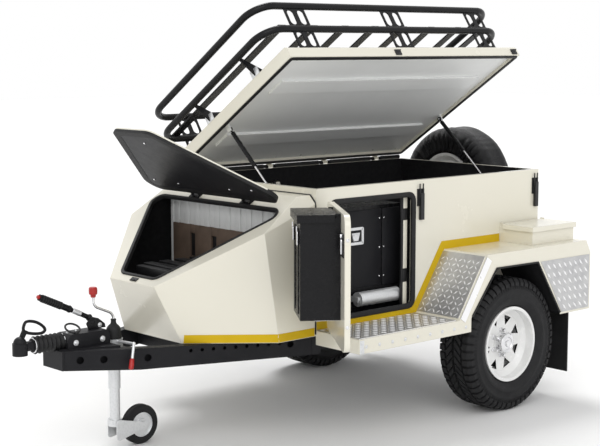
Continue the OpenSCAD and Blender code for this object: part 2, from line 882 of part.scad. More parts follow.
module jockey_wheel() {
    r = jockey_d / 2;
    color("dimgray") translate([leg_x + jockey_trail, 0, r]) rotate([90, 0, 0]) rotate_extrude() polygon([
        [jockey_axle_r + fit, -jockey_w / 2], [r * jockey_rim_share / 2, -jockey_w / 2],
        [r * jockey_rim_share / 2, -jockey_w / 4], [r * jockey_rim_share, -jockey_w / 4],
        [r * jockey_rim_share, -jockey_w / 2 + fork_gap], [r - fork_gap, -jockey_w / 2 + fork_gap],
        [r, -jockey_w / 4], [r, jockey_w / 4], [r - fork_gap, jockey_w / 2 - fork_gap],
        [r * jockey_rim_share, jockey_w / 2 - fork_gap], [r * jockey_rim_share, jockey_w / 4],
        [r * jockey_rim_share / 2, jockey_w / 4], [r * jockey_rim_share / 2, jockey_w / 2],
        [jockey_axle_r + fit, jockey_w / 2],
    ]);
}

module tub_floor() {
    color("dimgray") box([-tub_front, -tub_half, floor_z], [tub_rear, tub_half, wall_z]);
}

// Side wall with its door opening
module side_wall() {
    along_y(-tub_half, -tub_half + wall_t) difference() {
        translate([-tub_front, wall_z]) square([tub_l, tub_top - wall_z]);
        round_rect([opening_x, sill_z], [opening_x + opening_w, sill_z + opening_h], opening_r);
    }
}

module tub_wall_left() {
    color("ivory") side_wall();
}

module tub_wall_right() {
    color("ivory") mirror([0, 1, 0]) side_wall();
}

// Studs that the struts' rods hang on
module strut_stud(x0, x1) {
    shaft_x(strut_stud_y, tub_top - strut_stud_drop, x0, x1, strut_pin_r);
}

module tub_wall_front() {
    color("ivory") {
        box([-tub_front, -tub_half + wall_t, wall_z], [-tub_front + wall_t, tub_half - wall_t, tub_top]);
        strut_stud(-tub_front + wall_t - cut, strut_front_x - strut_eye_t / 2 - fit);
    }
}

module tub_wall_rear() {
    color("ivory") {
        box([tub_rear - wall_t, -tub_half + wall_t, wall_z], [tub_rear, tub_half - wall_t, tub_top]);
        strut_stud(strut_rear_x + strut_eye_t / 2 + fit, tub_rear - wall_t + cut);
    }
}

module cabinet() {
    x0 = -tub_front + wall_t;
    half = tub_half - wall_t - cabinet_side;
    top = tub_top - cabinet_top_drop;
    color("black") difference() {
        box([x0, -half, wall_z], [cabinet_x1, half, top]);
        box([x0 - cut, -half + cabinet_t, wall_z - cut], [cabinet_x1 - cabinet_t, half - cabinet_t,
            top - cabinet_t]);
    }
}

module roll_holder() {
    y = -tub_half + wall_t + cabinet_side;
    x = cabinet_x1 - roll_l - roll_set;
    axis_y = y - roll_r - roll_plate_t;
    color("silver") {
        shaft_x(axis_y, roll_z, x, x + roll_l, roll_r);
        shaft_x(axis_y, roll_z, x - 2 * roll_plate_t, x + roll_l + 2 * roll_plate_t, roll_core_r);
        for (e = [x - 2 * roll_plate_t, x + roll_l + roll_plate_t])
            box([e, axis_y - roll_core_r, roll_z - roll_core_r],
                [e + roll_plate_t, y, roll_z + roll_core_r]);
    }
}

// Corners of the nose's right half, drawn in from the outside by e, open to the rear when e is set
function nose_corners(e) = [
    [nose_tip_x + 2 * e, nose_tip_w / 2 - e, nose_tip_z - e / 2],
    [nose_foot_x + e, nose_foot_w / 2 - e, nose_foot_z + e],
    [-tub_front + e, tub_half - e, nose_foot_z + e],
    [-tub_front - nose_flat_l, tub_half - e, nose_foot_z + e],
    [-tub_front + e, tub_half - e, nose_deck_z - nose_deck_in - e / 2],
    [-tub_front - nose_l + (nose_l - nose_deck_l) * nose_shoulder_share, tub_half - e,
        nose_tip_z + (nose_deck_z - nose_tip_z) * nose_shoulder_share - e],
    [-tub_front - nose_deck_l, tub_half - nose_deck_in - e, nose_deck_z - e],
    [-tub_front + e, tub_half - nose_deck_in - e, nose_deck_z - e],
];

module nose_body(e) {
    hull() for (c = nose_corners(e), s = [-1, 1]) translate([c.x, s * c.y, c.z])
        sphere(r = nose_edge_r / 4, $fn = 16);
}

// Hatch outline in the slope's plane, grown by e, and its half width at a place along the slope
module hatch_outline(e) {
    r = hatch_corner_r + e;
    hull() for (s = [-1, 1]) {
        translate([hatch_front_set + hatch_corner_r, s * (hatch_front_half - hatch_corner_r / 2)])
            circle(r, $fn = 32);
        translate([hatch_rear_set - hatch_corner_r, s * (hatch_rear_half - hatch_corner_r)])
            circle(r, $fn = 32);
    }
}

module nose_shell() {
    color("ivory") {
        difference() {
            intersection() {
                nose_body(nose_edge_r / 4);
                box([nose_tip_x, -tub_half, nose_foot_z], [-tub_front, tub_half, nose_deck_z]);
            }
            nose_body(nose_wall);
            on_slope() translate([0, 0, -nose_l / 4]) linear_extrude(nose_l / 2) hatch_outline(0);
        }
    }
}

// Outline of the fender's outer face: top edge, rear end and wheel arch
function fender_outline() = [
    [-slope_foot, ledge_z], [-slope_head, fender_z], [fender_chamfer_x, fender_z],
    [fender_rear, fender_chamfer_z], [fender_rear, fender_low], [arch_end, fender_low],
    [arch_end, arch_end_z], [arch_rear, arch_rear_z], [-arch_head, arch_head_z],
    [-arch_foot, arch_foot_z], [-arch_foot - fender_t, ledge_z],
];

module fender_left() {
    inner = -fender_half + fender_t;
    along_y(-fender_half, inner) polygon(fender_outline());
    along_y(inner - cut, -tub_half) difference() {
        polygon(fender_outline());
        offset(delta = -fender_t) polygon(fender_outline());
    }
    difference() {
        box([-tub_front, -ledge_half, ledge_z - ledge_flange], [-arch_foot - fender_t, -tub_half, ledge_z]);
        box([-tub_front + fender_t, inner, ledge_z - ledge_flange - cut],
            [-arch_foot, -tub_half + cut, ledge_z - fender_t]);
    }
}

module fenders() {
    color("ivory") pair() fender_left();
}

module tread_plates() {
    slope = [slope_foot - slope_head, fender_z - ledge_z];
    slope_a = atan2(slope.y, slope.x);
    up = slope / norm(slope);
    across = [up.y, -up.x];
    foot = [-slope_foot, ledge_z] + up * tread_margin;
    head = [-slope_head, fender_z] - up * tread_margin;
    color("silver") pair() {
        box([-tub_front + tread_margin, -ledge_half + tread_margin, ledge_z],
            [-slope_foot - tread_margin, -tub_half - fit, ledge_z + tread_t]);
        translate([-slope_foot, 0, ledge_z]) rotate([0, -slope_a, 0])
            box([tread_margin, -fender_half + tread_margin, 0],
                [norm(slope) - tread_margin, -tub_half - fit, tread_t]);
        along_y(-fender_half - tread_t, -fender_half) polygon([
            [arch_end + tread_margin, fender_low + tread_margin],
            [arch_rear + (arch_end - arch_rear) / 2 + 2 * tread_margin, (arch_rear_z + arch_end_z) / 2],
            [arch_rear + 2 * tread_margin, arch_rear_z],
            [fender_rear - tread_margin, fender_chamfer_z - tread_margin],
            [fender_rear - tread_margin, fender_low + tread_margin],
        ]);
        along_y(-fender_half - tread_t, -fender_half) polygon([
            foot, head, head + across * tread_flange, foot + across * tread_flange,
        ]);
    }
}

module mudflaps() {
    color("black") pair() box([flap_x, -fender_half + tread_margin, flap_low],
        [flap_x + flap_t, -fender_half + tread_margin + flap_w, fender_low]);
}

// Box on the fender's rear with ears for its lid's pin
module fender_boxes() {
    color("ivory") pair() difference() {
        union() {
            box([box_x0, -box_y1, fender_z], [box_x1, -box_y0, box_z1]);
            for (x = [box_x0, box_x1 - box_ear_t])
                box([x, -box_axis_y - hinge_r, box_z1 - hinge_r], [x + box_ear_t, -box_y0,
                    box_axis_z + hinge_r]);
        }
        box([box_x0 + box_wall, -box_y1 + box_wall, fender_z + box_wall],
            [box_x1 - box_wall, -box_axis_y - hinge_r, box_z1 + cut]);
        shaft_x(-box_axis_y, box_axis_z, box_x0 - cut, box_x1 + cut, hinge_pin_r + fit);
    }
}

module box_lid() {
    gap = box_lid_play;
    x0 = box_x0 + box_ear_t + gap;
    x1 = box_x1 - box_ear_t - gap;
    z0 = box_axis_z - box_lid_t / 2;
    shaft_x(-box_axis_y, box_axis_z, box_x0, box_x1, hinge_pin_r);
    difference() {
        union() {
            box([x0, -box_axis_y - hinge_r - gap, z0], [x1, -box_axis_y, z0 + box_lid_t]);
            box([box_x0 - gap - box_wall, -box_y1 - gap - box_wall, z0 - box_lid_lip],
                [box_x1 + gap + box_wall, -box_axis_y - hinge_r - gap, z0 + box_lid_t]);
        }
        box([box_x0 - gap, -box_y1 - gap, z0 - box_lid_lip - cut],
            [box_x1 + gap, -box_axis_y - hinge_r - gap + cut, z0]);
    }
}

module box_lid_left() {
    color("ivory") box_lid();
}

module box_lid_right() {
    color("ivory") mirror([0, 1, 0]) box_lid();
}

// Toggle latches: a base plate, a lever and the hook that reaches up to the lid
module lid_latches() {
    color("silver") for (x = [latch_front_x, tub_rear - latch_rear_in]) {
        box([x - latch_w / 2, -tub_half - latch_d / 4, tub_top - latch_drop - latch_h],
            [x + latch_w / 2, -tub_half, tub_top - latch_drop]);
        box([x - latch_w / 4, -tub_half - latch_d, tub_top - latch_drop - latch_lever_l],
            [x + latch_w / 4, -tub_half - latch_d / 4, tub_top - latch_drop - latch_h / 4]);
        for (s = [-1, 1])
            rod([x + s * latch_w / 4, -tub_half - latch_d / 2, tub_top - latch_drop - latch_h / 2],
                [x + s * latch_w / 4, -tub_half - latch_d / 2, tub_top - latch_d], latch_d / 6);
    }
}

module tail_lamps() {
    y = fender_half - lamp_w - 2 * tread_margin;
    color("firebrick") pair() along_x(fender_rear, fender_rear + lamp_d)
        round_rect([y, lamp_z], [y + lamp_w, lamp_z + lamp_h], lamp_r);
}

module spare_carrier() {
    color("dimgray") {
        box([tub_rear, spare_y - carrier_w / 2, spare_z - carrier_w / 2],
            [tub_rear + carrier_t, spare_y + carrier_w / 2, spare_z + carrier_w / 2]);
        shaft_x(spare_y, spare_z, tub_rear, spare_x + cover_d / 2, carrier_boss_r);
    }
}

module spare_rim() {
    x0 = spare_x + carrier_t;
    color("white") translate([x0, spare_y, spare_z]) rotate([0, 90, 0]) rotate_extrude() polygon([
        [carrier_boss_r + fit, disc_set], [rim_well_r, disc_set], [rim_bead_r, 0], [flange_r, 0],
        [flange_r, flange_t], [rim_bead_r + rim_t, flange_t], [rim_well_r + rim_t, disc_set + disc_t],
        [carrier_boss_r + fit, disc_set + disc_t],
    ]);
}

module spare_cover() {
    e = cover_edge_r;
    color("black") translate([spare_x, spare_y, spare_z]) rotate([0, 90, 0]) rotate_extrude($fn = 96) {
        difference() {
            union() {
                translate([0, cover_d / 2]) square([cover_mouth_r, cover_d / 2]);
                translate([cover_mouth_r, 0]) square([cover_r - e - cover_mouth_r, cover_d]);
                translate([cover_r - e, e]) square([e, cover_d - 2 * e]);
                for (x = [e, cover_d - e]) translate([cover_r - e, x]) circle(e);
            }
            translate([0, -cut]) square([carrier_boss_r + fit, cover_d / 2 + cut + fit]);
        }
    }
}

// Fixed halves of the doors', lid's and hatch's hinges
module hinge_bases() {
    color("dimgray") {
        pair() for (z = [door_z0 + door_hinge_set, door_z1 - door_hinge_set])
            translate([door_axis_x, -door_axis_y, z]) hinge_base(door_axis_y - tub_half);
        for (i = [0 : lid_hinge_count - 1]) translate([lid_hinge_x(i), lid_axis_y, lid_axis_z])
            rotate([0, 90, 0]) rotate([0, 0, 90]) lid_hinge_base();
        on_slope() for (s = [-1, 1]) translate([hatch_axis_set, s * hatch_hinge_y, hatch_axis_h])
            rotate([-90, 0, 0]) hinge_base(hatch_axis_h - nose_seat);
    }
}
function lid_hinge_x(i) = -tub_front + tub_l * (i + 0.5) / lid_hinge_count;

// Lid hinge base: knuckles on a plate that lies on the tub's right wall
module lid_hinge_base() {
    w = lid_axis_y - tub_half;
    knuckle_l = hinge_l * hinge_knuckle_share;
    cylinder(h = hinge_l, r = hinge_pin_r, center = true);
    for (s = [-1, 1]) translate([0, 0, s * (hinge_l - knuckle_l) / 2]) {
        cylinder(h = knuckle_l, r = hinge_r, center = true);
        translate([-w, -hinge_plate_w, -knuckle_l / 2])
            cube([hinge_plate_t, hinge_plate_w + hinge_plate_t / 2, knuckle_l]);
        translate([-w, -hinge_plate_t / 2, -knuckle_l / 2]) cube([w, hinge_plate_t, knuckle_l]);
    }
}

module lid_shell() {
    color("ivory") turn_lid(lid_open) {
        difference() {
            along_x(lid_x0, lid_x1) {
                translate([lid_y0, lid_z]) square([lid_y1 - lid_y0, lid_h - lid_edge_r]);
                translate([lid_y0 + lid_edge_r, lid_z]) square([lid_y1 - lid_y0 - 2 * lid_edge_r, lid_h]);
                for (y = [lid_y0 + lid_edge_r, lid_y1 - lid_edge_r])
                    translate([y, lid_z + lid_h - lid_edge_r]) circle(lid_edge_r);
            }
            box([lid_x0 + lid_skirt, lid_y0 + lid_skirt, lid_z - cut],
                [lid_x1 - lid_skirt, lid_y1 - lid_skirt, lid_z + lid_h - lid_top_t]);
        }
        for (i = [0 : lid_hinge_count - 1]) translate([lid_hinge_x(i), lid_axis_y, lid_axis_z])
            rotate([0, 90, 0]) rotate([0, 0, 180]) lid_hinge_leaf();
    }
}

// Lid hinge leaf: the middle knuckle with a strap up the lid's back
module lid_hinge_leaf() {
    leaf_h = hinge_l * (1 - 2 * hinge_knuckle_share) - 2 * fit;
    w = lid_axis_y - lid_y1;
    difference() {
        union() {
            cylinder(h = leaf_h, r = hinge_r, center = true);
            translate([0, 0, -leaf_h / 2]) cube([hinge_plate_w, hinge_plate_t, leaf_h]);
            translate([hinge_r + clear, 0, -leaf_h / 2]) cube([hinge_plate_w - hinge_r - clear, w, leaf_h]);
        }
        cylinder(h = leaf_h + 2 * cut, r = hinge_pin_r + fit, center = true);
    }
}

// Lid liner with pressed ribs along it and the struts' lid studs
module lid_liner() {
    z0 = lid_z + liner_set;
    y0 = lid_y0 + lid_skirt;
    y1 = lid_y1 - lid_skirt;
    pitch = (y1 - y0) / liner_rib_count;
    eye_y = lid_axis_y - lid_strut_set;
    eye_z = lid_axis_z;
    ear_in = strut_eye_t + fit;
    color("lightgray") turn_lid(lid_open) {
        box([lid_x0 + lid_skirt, y0, z0], [lid_x1 - lid_skirt, y1, z0 + liner_t]);
        for (i = [0 : liner_rib_count - 1])
            box([lid_x0 + 4 * lid_skirt, y0 + pitch * (i + 0.5) - liner_rib_w / 2, z0 - liner_rib_h],
                [lid_x1 - 4 * lid_skirt, y0 + pitch * (i + 0.5) + liner_rib_w / 2, z0]);
        for (x = [strut_front_x - ear_in, strut_rear_x + ear_in])
            box([x - strut_eye_t / 2, eye_y - strut_eye_r, eye_z - strut_eye_r],
                [x + strut_eye_t / 2, eye_y + strut_eye_r, z0]);
        shaft_x(eye_y, eye_z, strut_front_x - strut_eye_t, strut_front_x + strut_eye_t / 2, strut_pin_r);
        shaft_x(eye_y, eye_z, strut_rear_x - strut_eye_t / 2, strut_rear_x + strut_eye_t, strut_pin_r);
    }
}

// One closed loop of rack tube at height h above the lid's underside
module rack_loop(h) {
    z = lid_z + h;
    xs = [rack_x0 + rack_r, rack_x0 + rack_l - rack_r];
    ys = [rack_y0 + rack_r, rack_y0 + rack_w - rack_r];
    for (y = [rack_y0, rack_y0 + rack_w]) shaft_x(y, z, xs[0], xs[1], rack_tube_r);
    for (x = [rack_x0, rack_x0 + rack_l]) shaft_y(x, z, ys[0], ys[1], rack_tube_r);
    for (i = [0, 1], j = [0, 1]) translate([xs[i], ys[j], z])
        rotate([0, 0, i == 0 ? (j == 0 ? 180 : 90) : (j == 0 ? 270 : 0)])
            rotate_extrude(angle = 90) translate([rack_r, 0]) circle(rack_tube_r);
}

// A slot with round ends, cut through along y
module slot_y(x, z0, z1, w) {
    shaft_y(x, z0 + w / 2, lid_y0 - rack_tube_d, lid_y1 + rack_tube_d, w / 2);
    shaft_y(x, z1 - w / 2, lid_y0 - rack_tube_d, lid_y1 + rack_tube_d, w / 2);
    box([x - w / 2, lid_y0 - rack_tube_d, z0 + w / 2], [x + w / 2, lid_y1 + rack_tube_d, z1 - w / 2]);
}

module rack_frame() {
    z0 = lid_z + lid_h;
    color("black") turn_lid(lid_open) {
        rack_loop(rack_low);
        rack_loop(rack_high);
        difference() {
            for (s = rack_plate_shares, y = [rack_y0, rack_y0 + rack_w])
                box([rack_x0 + rack_l * s - rack_plate_w / 2, y - rack_plate_t / 2, z0],
                    [rack_x0 + rack_l * s + rack_plate_w / 2, y + rack_plate_t / 2, lid_z + rack_high]);
            for (s = rack_plate_shares, e = [-1, 1]) {
                x = rack_x0 + rack_l * s + e * rack_plate_w / 4;
                slot_y(x, z0 + rack_slot_edge / 2, lid_z + rack_low - rack_tube_r, rack_slot_w);
                slot_y(x, lid_z + rack_low + rack_slot_edge, lid_z + rack_high - rack_slot_edge,
                    rack_slot_w);
            }
        }
        foot_y = [rack_y0 - rack_plate_t, rack_y0 + rack_w + rack_plate_t - rack_foot_l];
        for (s = rack_plate_shares, y = foot_y)
            box([rack_x0 + rack_l * s - rack_plate_w / 2, y, z0],
                [rack_x0 + rack_l * s + rack_plate_w / 2, y + rack_foot_l, z0 + rack_foot_t]);
    }
}

module rack_slats() {
    end = rack_plate_t / 2 + fit;
    z = lid_z + rack_low + sqrt(rack_tube_r * rack_tube_r - end * end) + fit;
    pitch = (rack_l - 2 * rack_r) / (slat_count - 1);
    color("black") turn_lid(lid_open) for (i = [0 : slat_count - 1]) {
        x = rack_x0 + rack_r + i * pitch;
        box([x - slat_w / 2, rack_y0 + end, z], [x + slat_w / 2, rack_y0 + rack_w - end, z + slat_t]);
    }
}

// Struts at rest: from the lid's eye when open to the stud in the tub
function strut_top() = [
    lid_axis_y - lid_strut_set * cos(lid_open), lid_axis_z + lid_strut_set * sin(lid_open)];
function strut_foot() = [strut_stud_y, tub_top - strut_stud_drop];
function strut_dir() = (strut_foot() - strut_top()) / norm(strut_foot() - strut_top());

module strut_eye(x, p) {
    difference() {
        shaft_x(p.x, p.y, x - strut_eye_t / 2, x + strut_eye_t / 2, strut_eye_r);
        shaft_x(p.x, p.y, x - strut_eye_t, x + strut_eye_t, strut_pin_r + fit);
    }
}

function strut_at(x, d) = [x, strut_top().x + d * strut_dir().x, strut_top().y + d * strut_dir().y];

module strut_barrels() {
    color("black") for (x = [strut_front_x, strut_rear_x]) {
        difference() {
            rod(strut_at(x, strut_neck), strut_at(x, strut_barrel_l), strut_r);
            rod(strut_at(x, strut_neck + strut_cap), strut_at(x, strut_barrel_l + cut), strut_bore_r);
        }
        rod(strut_at(x, strut_eye_r - cut), strut_at(x, strut_neck + cut), strut_rod_r - fit);
        strut_eye(x, strut_top());
    }
}

module strut_rods() {
    l = norm(strut_foot() - strut_top());
    color("silver") for (x = [strut_front_x, strut_rear_x]) {
        rod(strut_at(x, strut_barrel_l - strut_keep), strut_at(x, l - strut_eye_r + cut), strut_rod_r);
        strut_eye(x, strut_foot());
    }
}

module hatch_panel() {
    color("dimgray") on_slope() turn_hatch(hatch_open) {
        translate([0, 0, hatch_gap]) linear_extrude(hatch_t) hatch_outline(hatch_lap);
        for (s = [-1, 1]) translate([hatch_axis_set, s * hatch_hinge_y, hatch_axis_h])
            rotate([-90, 0, 0]) rotate([0, 0, 180]) hinge_leaf(hinge_plate_w);
    }
}

// A door as it stands closed on the left wall
module door_panel() {
    along_y(-door_face, -door_face + door_t) round_rect([door_x0, door_z0], [door_x1, door_z1], door_r);
    for (z = [door_z0 + door_hinge_set, door_z1 - door_hinge_set])
        translate([door_axis_x, -door_axis_y, z]) hinge_leaf(hinge_plate_w);
}

// Open-topped can box with pressed ribs and ears for its lid's pin
module can_box() {
    color("black") difference() {
        union() {
            box([can_x0, -door_face - can_d, can_z0], [can_x1, -door_face, can_z1]);
            for (x = [can_x0, can_x1 - can_ear_t])
                box([x, -can_axis_y - hinge_r, can_z1 - hinge_r], [x + can_ear_t, -door_face,
                    can_axis_z + hinge_r]);
            for (s = [-1, 1]) {
                x = (can_x0 + can_x1) / 2 + s * can_w / 4;
                box([x - can_rib_w / 2, -door_face - can_d - can_rib_t, can_z0 + can_rib_w],
                    [x + can_rib_w / 2, -door_face - can_d + cut, can_z1 - 2 * can_lid_lip]);
            }
        }
        box([can_x0 + can_wall, -door_face - can_d + can_wall, can_z0 + can_wall],
            [can_x1 - can_wall, -can_axis_y - hinge_r, can_z1 + cut]);
        shaft_x(-can_axis_y, can_axis_z, can_x0 - cut, can_x1 + cut, hinge_pin_r + fit);
    }
}

module can_lid() {
    gap = can_lid_play;
    y1 = -can_axis_y - hinge_r - gap;
    z0 = can_axis_z - can_lid_t / 2;
    color("black") {
        shaft_x(-can_axis_y, can_axis_z, can_x0, can_x1, hinge_pin_r);
        box([can_x0 + can_ear_t + gap, y1 - cut, z0], [can_x1 - can_ear_t - gap, -can_axis_y, z0 + can_lid_t]);
        difference() {
            box([can_x0 - gap - can_wall, -door_face - can_d - can_rib_t - gap - can_wall,
                z0 - can_lid_lip],
                [can_x1 + gap + can_wall, y1, z0 + can_lid_t]);
            box([can_x0 - gap, -door_face - can_d - can_rib_t - gap, z0 - can_lid_lip - cut],
                [can_x1 + gap, y1 + cut, z0]);
        }
    }
}

module door_left() {
    color("ivory") turn_door(door_open) door_panel();
}

module can_box_left() {
    turn_door(door_open) can_box();
}

module can_lid_left() {
    turn_door(door_open) can_lid();
}

module door_right() {
    color("ivory") mirror([0, 1, 0]) door_panel();
}

module can_box_right() {
    mirror([0, 1, 0]) can_box();
}

module can_lid_right() {
    mirror([0, 1, 0]) can_lid();
}

// Tyre section, revolved round the wheel's axis: bead, bulged wall, shoulder and grooved tread
module tyre() {
    w = tyre_w / 2;
    groove_places = [-w / 2, 0, w / 2];
    rotate([90, 0, 0]) rotate_extrude($fn = 96) difference() {
        union() {
            translate([rim_bead_r + rim_t + fit, -rim_w / 2 + flange_t + fit])
                square([tyre_r - shoulder_r - rim_bead_r - rim_t - fit, rim_w - 2 * flange_t - 2 * fit]);
            translate([flange_r + fit, -w + shoulder_r])
                square([tyre_r - flange_r - fit, tyre_w - 2 * shoulder_r]);
            translate([flange_r + shoulder_r + fit, -w])
                square([tyre_r - flange_r - 2 * shoulder_r - fit, tyre_w]);
            for (x = [flange_r + shoulder_r + fit, tyre_r - shoulder_r],
                y = [-w + shoulder_r, w - shoulder_r])
                translate([x, y]) circle(shoulder_r);
        }
        for (y = groove_places) translate([tyre_r - tread_depth, y - groove_w / 2])
            square([tread_depth + cut, groove_w]);
    }
}

// Rim, spoked disc, hub and brake drum as one bolted wheel
module wheel() {
    half = rim_w / 2;
    rotate([90, 0, 0]) difference() {
        union() {
            rotate_extrude($fn = 96) polygon([
                [flange_r, -half], [flange_r, -half + flange_t], [rim_bead_r + rim_t, -half + flange_t],
                [rim_bead_r + rim_t, -half / 2], [rim_well_r + rim_t, -half / 4],
                [rim_well_r + rim_t, half / 4], [rim_bead_r + rim_t, half / 2],
                [rim_bead_r + rim_t, half - flange_t], [flange_r, half - flange_t], [flange_r, half],
                [rim_bead_r, half], [rim_bead_r, half / 2], [rim_well_r, half / 4],
                [rim_well_r, -half / 4], [rim_bead_r, -half / 2], [rim_bead_r, -half],
            ]);
            translate([0, 0, disc_t]) cylinder(h = disc_t, r = rim_well_r + rim_t / 2);
            translate([0, 0, disc_t]) cylinder(h = hub_cap_l, r1 = hub_r, r2 = hub_cap_r);
            translate([0, 0, -drum_l]) cylinder(h = drum_l, r = drum_r);
            translate([0, 0, -cut]) cylinder(h = disc_t + 2 * cut, r = hub_r);
        }
        for (i = [0 : spoke_count - 1]) rotate([0, 0, (i + 0.5) * 360 / spoke_count])
            translate([window_at, 0, disc_t - cut]) linear_extrude(disc_t + 2 * cut) polygon([
                [-window_l, 0], [window_l, -window_half], [window_l, window_half],
            ]);
        translate([0, 0, -drum_l - cut]) cylinder(h = drum_l + disc_t + cut, r = spindle_r + fit);
    }
}

module tyre_left() {
    color("black") translate([0, -wheel_y, axle_z]) tyre();
}

module wheel_left() {
    color("white") translate([0, -wheel_y, axle_z]) wheel();
}

module tyre_right() {
    color("black") mirror([0, 1, 0]) translate([0, -wheel_y, axle_z]) tyre();
}

module wheel_right() {
    color("white") mirror([0, 1, 0]) translate([0, -wheel_y, axle_z]) wheel();
}

place() drawbar();
place() chassis();
place() axle();
place() leaf_springs();
place() coupling_head();
place() coupling_gaiter();
place() coupling_housing();
place() coupling_handle();
place() handbrake_lever();
place() breakaway_ring();
place() jockey_sleeve();
place() jockey_crank();
place() jockey_leg();
place() jockey_fork();
place() jockey_wheel();
place() tub_floor();
place() tub_wall_left();
place() tub_wall_right();
place() tub_wall_front();
place() tub_wall_rear();
place() cabinet();
place() roll_holder();
place() nose_shell();
place() fenders();
place() tread_plates();
place() mudflaps();
place() fender_boxes();
place() lid_latches();
place() tail_lamps();
place() spare_carrier();
place() spare_rim();
place() spare_cover();
place() hinge_bases();
place() lid_shell();
place() lid_liner();
place() rack_frame();
place() rack_slats();
place() strut_barrels();
place() strut_rods();
place() hatch_panel();
place() door_left();
place() can_box_left();
place() can_lid_left();
place() door_right();
place() can_box_right();
place() can_lid_right();
place() box_lid_left();
place() box_lid_right();
place() tyre_left();
place() wheel_left();
place() tyre_right();
place() wheel_right();
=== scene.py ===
"""Looks of the off-road camper trailer: finishes for its solids, and the trim that rides on them.

Lengths are metres in the part's frame: x to the rear, y to the trailer's right, z up, with the
coupling ball at the origin. Trim on a panel that stands open is drawn as if the panel were closed,
and then swung open about the panel's own hinge.
"""
import json
import math

import bmesh
import bpy
from mathutils import Matrix, Vector
from mathutils.bvhtree import BVHTree


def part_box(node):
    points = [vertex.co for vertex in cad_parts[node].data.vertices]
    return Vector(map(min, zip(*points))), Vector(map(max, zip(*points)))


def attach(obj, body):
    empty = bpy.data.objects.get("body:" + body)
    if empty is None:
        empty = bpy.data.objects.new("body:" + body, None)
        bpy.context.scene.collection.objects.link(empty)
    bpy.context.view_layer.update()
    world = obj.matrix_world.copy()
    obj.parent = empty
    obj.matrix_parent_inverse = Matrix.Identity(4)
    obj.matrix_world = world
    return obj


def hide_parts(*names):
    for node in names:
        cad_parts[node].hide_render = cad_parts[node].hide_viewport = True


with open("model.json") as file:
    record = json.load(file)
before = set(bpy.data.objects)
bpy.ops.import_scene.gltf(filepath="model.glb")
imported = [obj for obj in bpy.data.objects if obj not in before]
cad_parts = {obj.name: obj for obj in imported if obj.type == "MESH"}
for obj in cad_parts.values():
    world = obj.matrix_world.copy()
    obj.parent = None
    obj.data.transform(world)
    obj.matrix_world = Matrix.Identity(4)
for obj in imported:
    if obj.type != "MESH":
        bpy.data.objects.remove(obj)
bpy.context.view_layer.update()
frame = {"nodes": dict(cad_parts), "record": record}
NODES = frame["nodes"]
JOINTS = {j["name"]: j for j in frame["record"]["behaviour"]["joints"]}
SIDES = (-1, 1)

# Driving places, from the frame
TUB_LOW, TUB_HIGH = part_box("tub_wall_left")
TUB_HALF = -TUB_LOW[1]
TUB_FRONT, TUB_REAR, TUB_TOP = TUB_LOW[0], TUB_HIGH[0], TUB_HIGH[2]
FLOOR_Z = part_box("tub_floor")[0][2]
TYRE_LOW, TYRE_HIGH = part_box("tyre_left")
TYRE_R = (TYRE_HIGH[2] - TYRE_LOW[2]) / 2
TYRE_W = TYRE_HIGH[1] - TYRE_LOW[1]
AXLE_X = (TYRE_LOW[0] + TYRE_HIGH[0]) / 2
AXLE_Z = (TYRE_LOW[2] + TYRE_HIGH[2]) / 2
GROUND_Z = TYRE_LOW[2]
WHEEL_Y = -(TYRE_LOW[1] + TYRE_HIGH[1]) / 2

# Sizes of the solids that the trim follows
OPENING = (TUB_FRONT + 0.096, TUB_FRONT + 0.711, FLOOR_Z + 0.070, FLOOR_Z + 0.673)
OPENING_R = 0.040
DOOR_FACE = TUB_HALF + 0.040
FENDER_HALF = 0.860
FENDER_Z = GROUND_Z + 0.887
LEDGE_Z = GROUND_Z + 0.562
SLOPE_FOOT_X, SLOPE_HEAD_X = AXLE_X - 0.467, AXLE_X - 0.248
NOSE_L, NOSE_DECK, NOSE_FOOT_SET = 0.739, 0.090, 0.127
NOSE_TIP_H, NOSE_TOP_H = 0.824, 1.246
NOSE_TIP = Vector((TUB_FRONT - NOSE_L, 0, GROUND_Z + NOSE_TIP_H))
NOSE_SLOPE = math.atan2(NOSE_TOP_H - NOSE_TIP_H, NOSE_L - NOSE_DECK)
HATCH_CORNERS = [(0.107, -0.1125), (0.605, -0.445), (0.605, 0.445), (0.107, 0.1125)]
HATCH_R = 0.055
LID_Z = TUB_TOP + 0.019
LID = (TUB_FRONT - 0.024, TUB_REAR + 0.006, -TUB_HALF - 0.036, TUB_HALF)


# Materials

def node_of(tree, kind, **values):
    """A shader node with its inputs or settings filled in."""
    node = tree.nodes.new("ShaderNode" + kind)
    for key, value in values.items():
        if key in node.inputs:
            node.inputs[key].default_value = value
        else:
            setattr(node, key, value)
    return node


def texture_of(tree, kind, **values):
    """The outputs of a texture over the part's own coordinates."""
    place = node_of(tree, "TexCoord")
    texture = node_of(tree, "Tex" + kind, **values)
    tree.links.new(place.outputs["Object"], texture.inputs["Vector"])
    return texture.outputs


def grain_of(tree, scale, detail=4.0):
    return texture_of(tree, "Noise", Scale=scale, Detail=detail, Roughness=0.6)["Fac"]


def ramp_of(tree, fac, stops):
    """A colour ramp driven by fac, with stops of place and colour."""
    ramp = node_of(tree, "ValToRGB")
    elements = ramp.color_ramp.elements
    while len(elements) < len(stops):
        elements.new(0.5)
    for element, (place, colour) in zip(elements, stops):
        element.position = place
        element.color = (*colour, 1.0)
    tree.links.new(fac, ramp.inputs["Fac"])
    return ramp.outputs["Color"]


def bump_of(tree, height, distance, normal=None):
    bump = node_of(tree, "Bump", Distance=distance, Strength=1.0)
    tree.links.new(height, bump.inputs["Height"])
    if normal:
        tree.links.new(normal, bump.inputs["Normal"])
    return bump.outputs["Normal"]


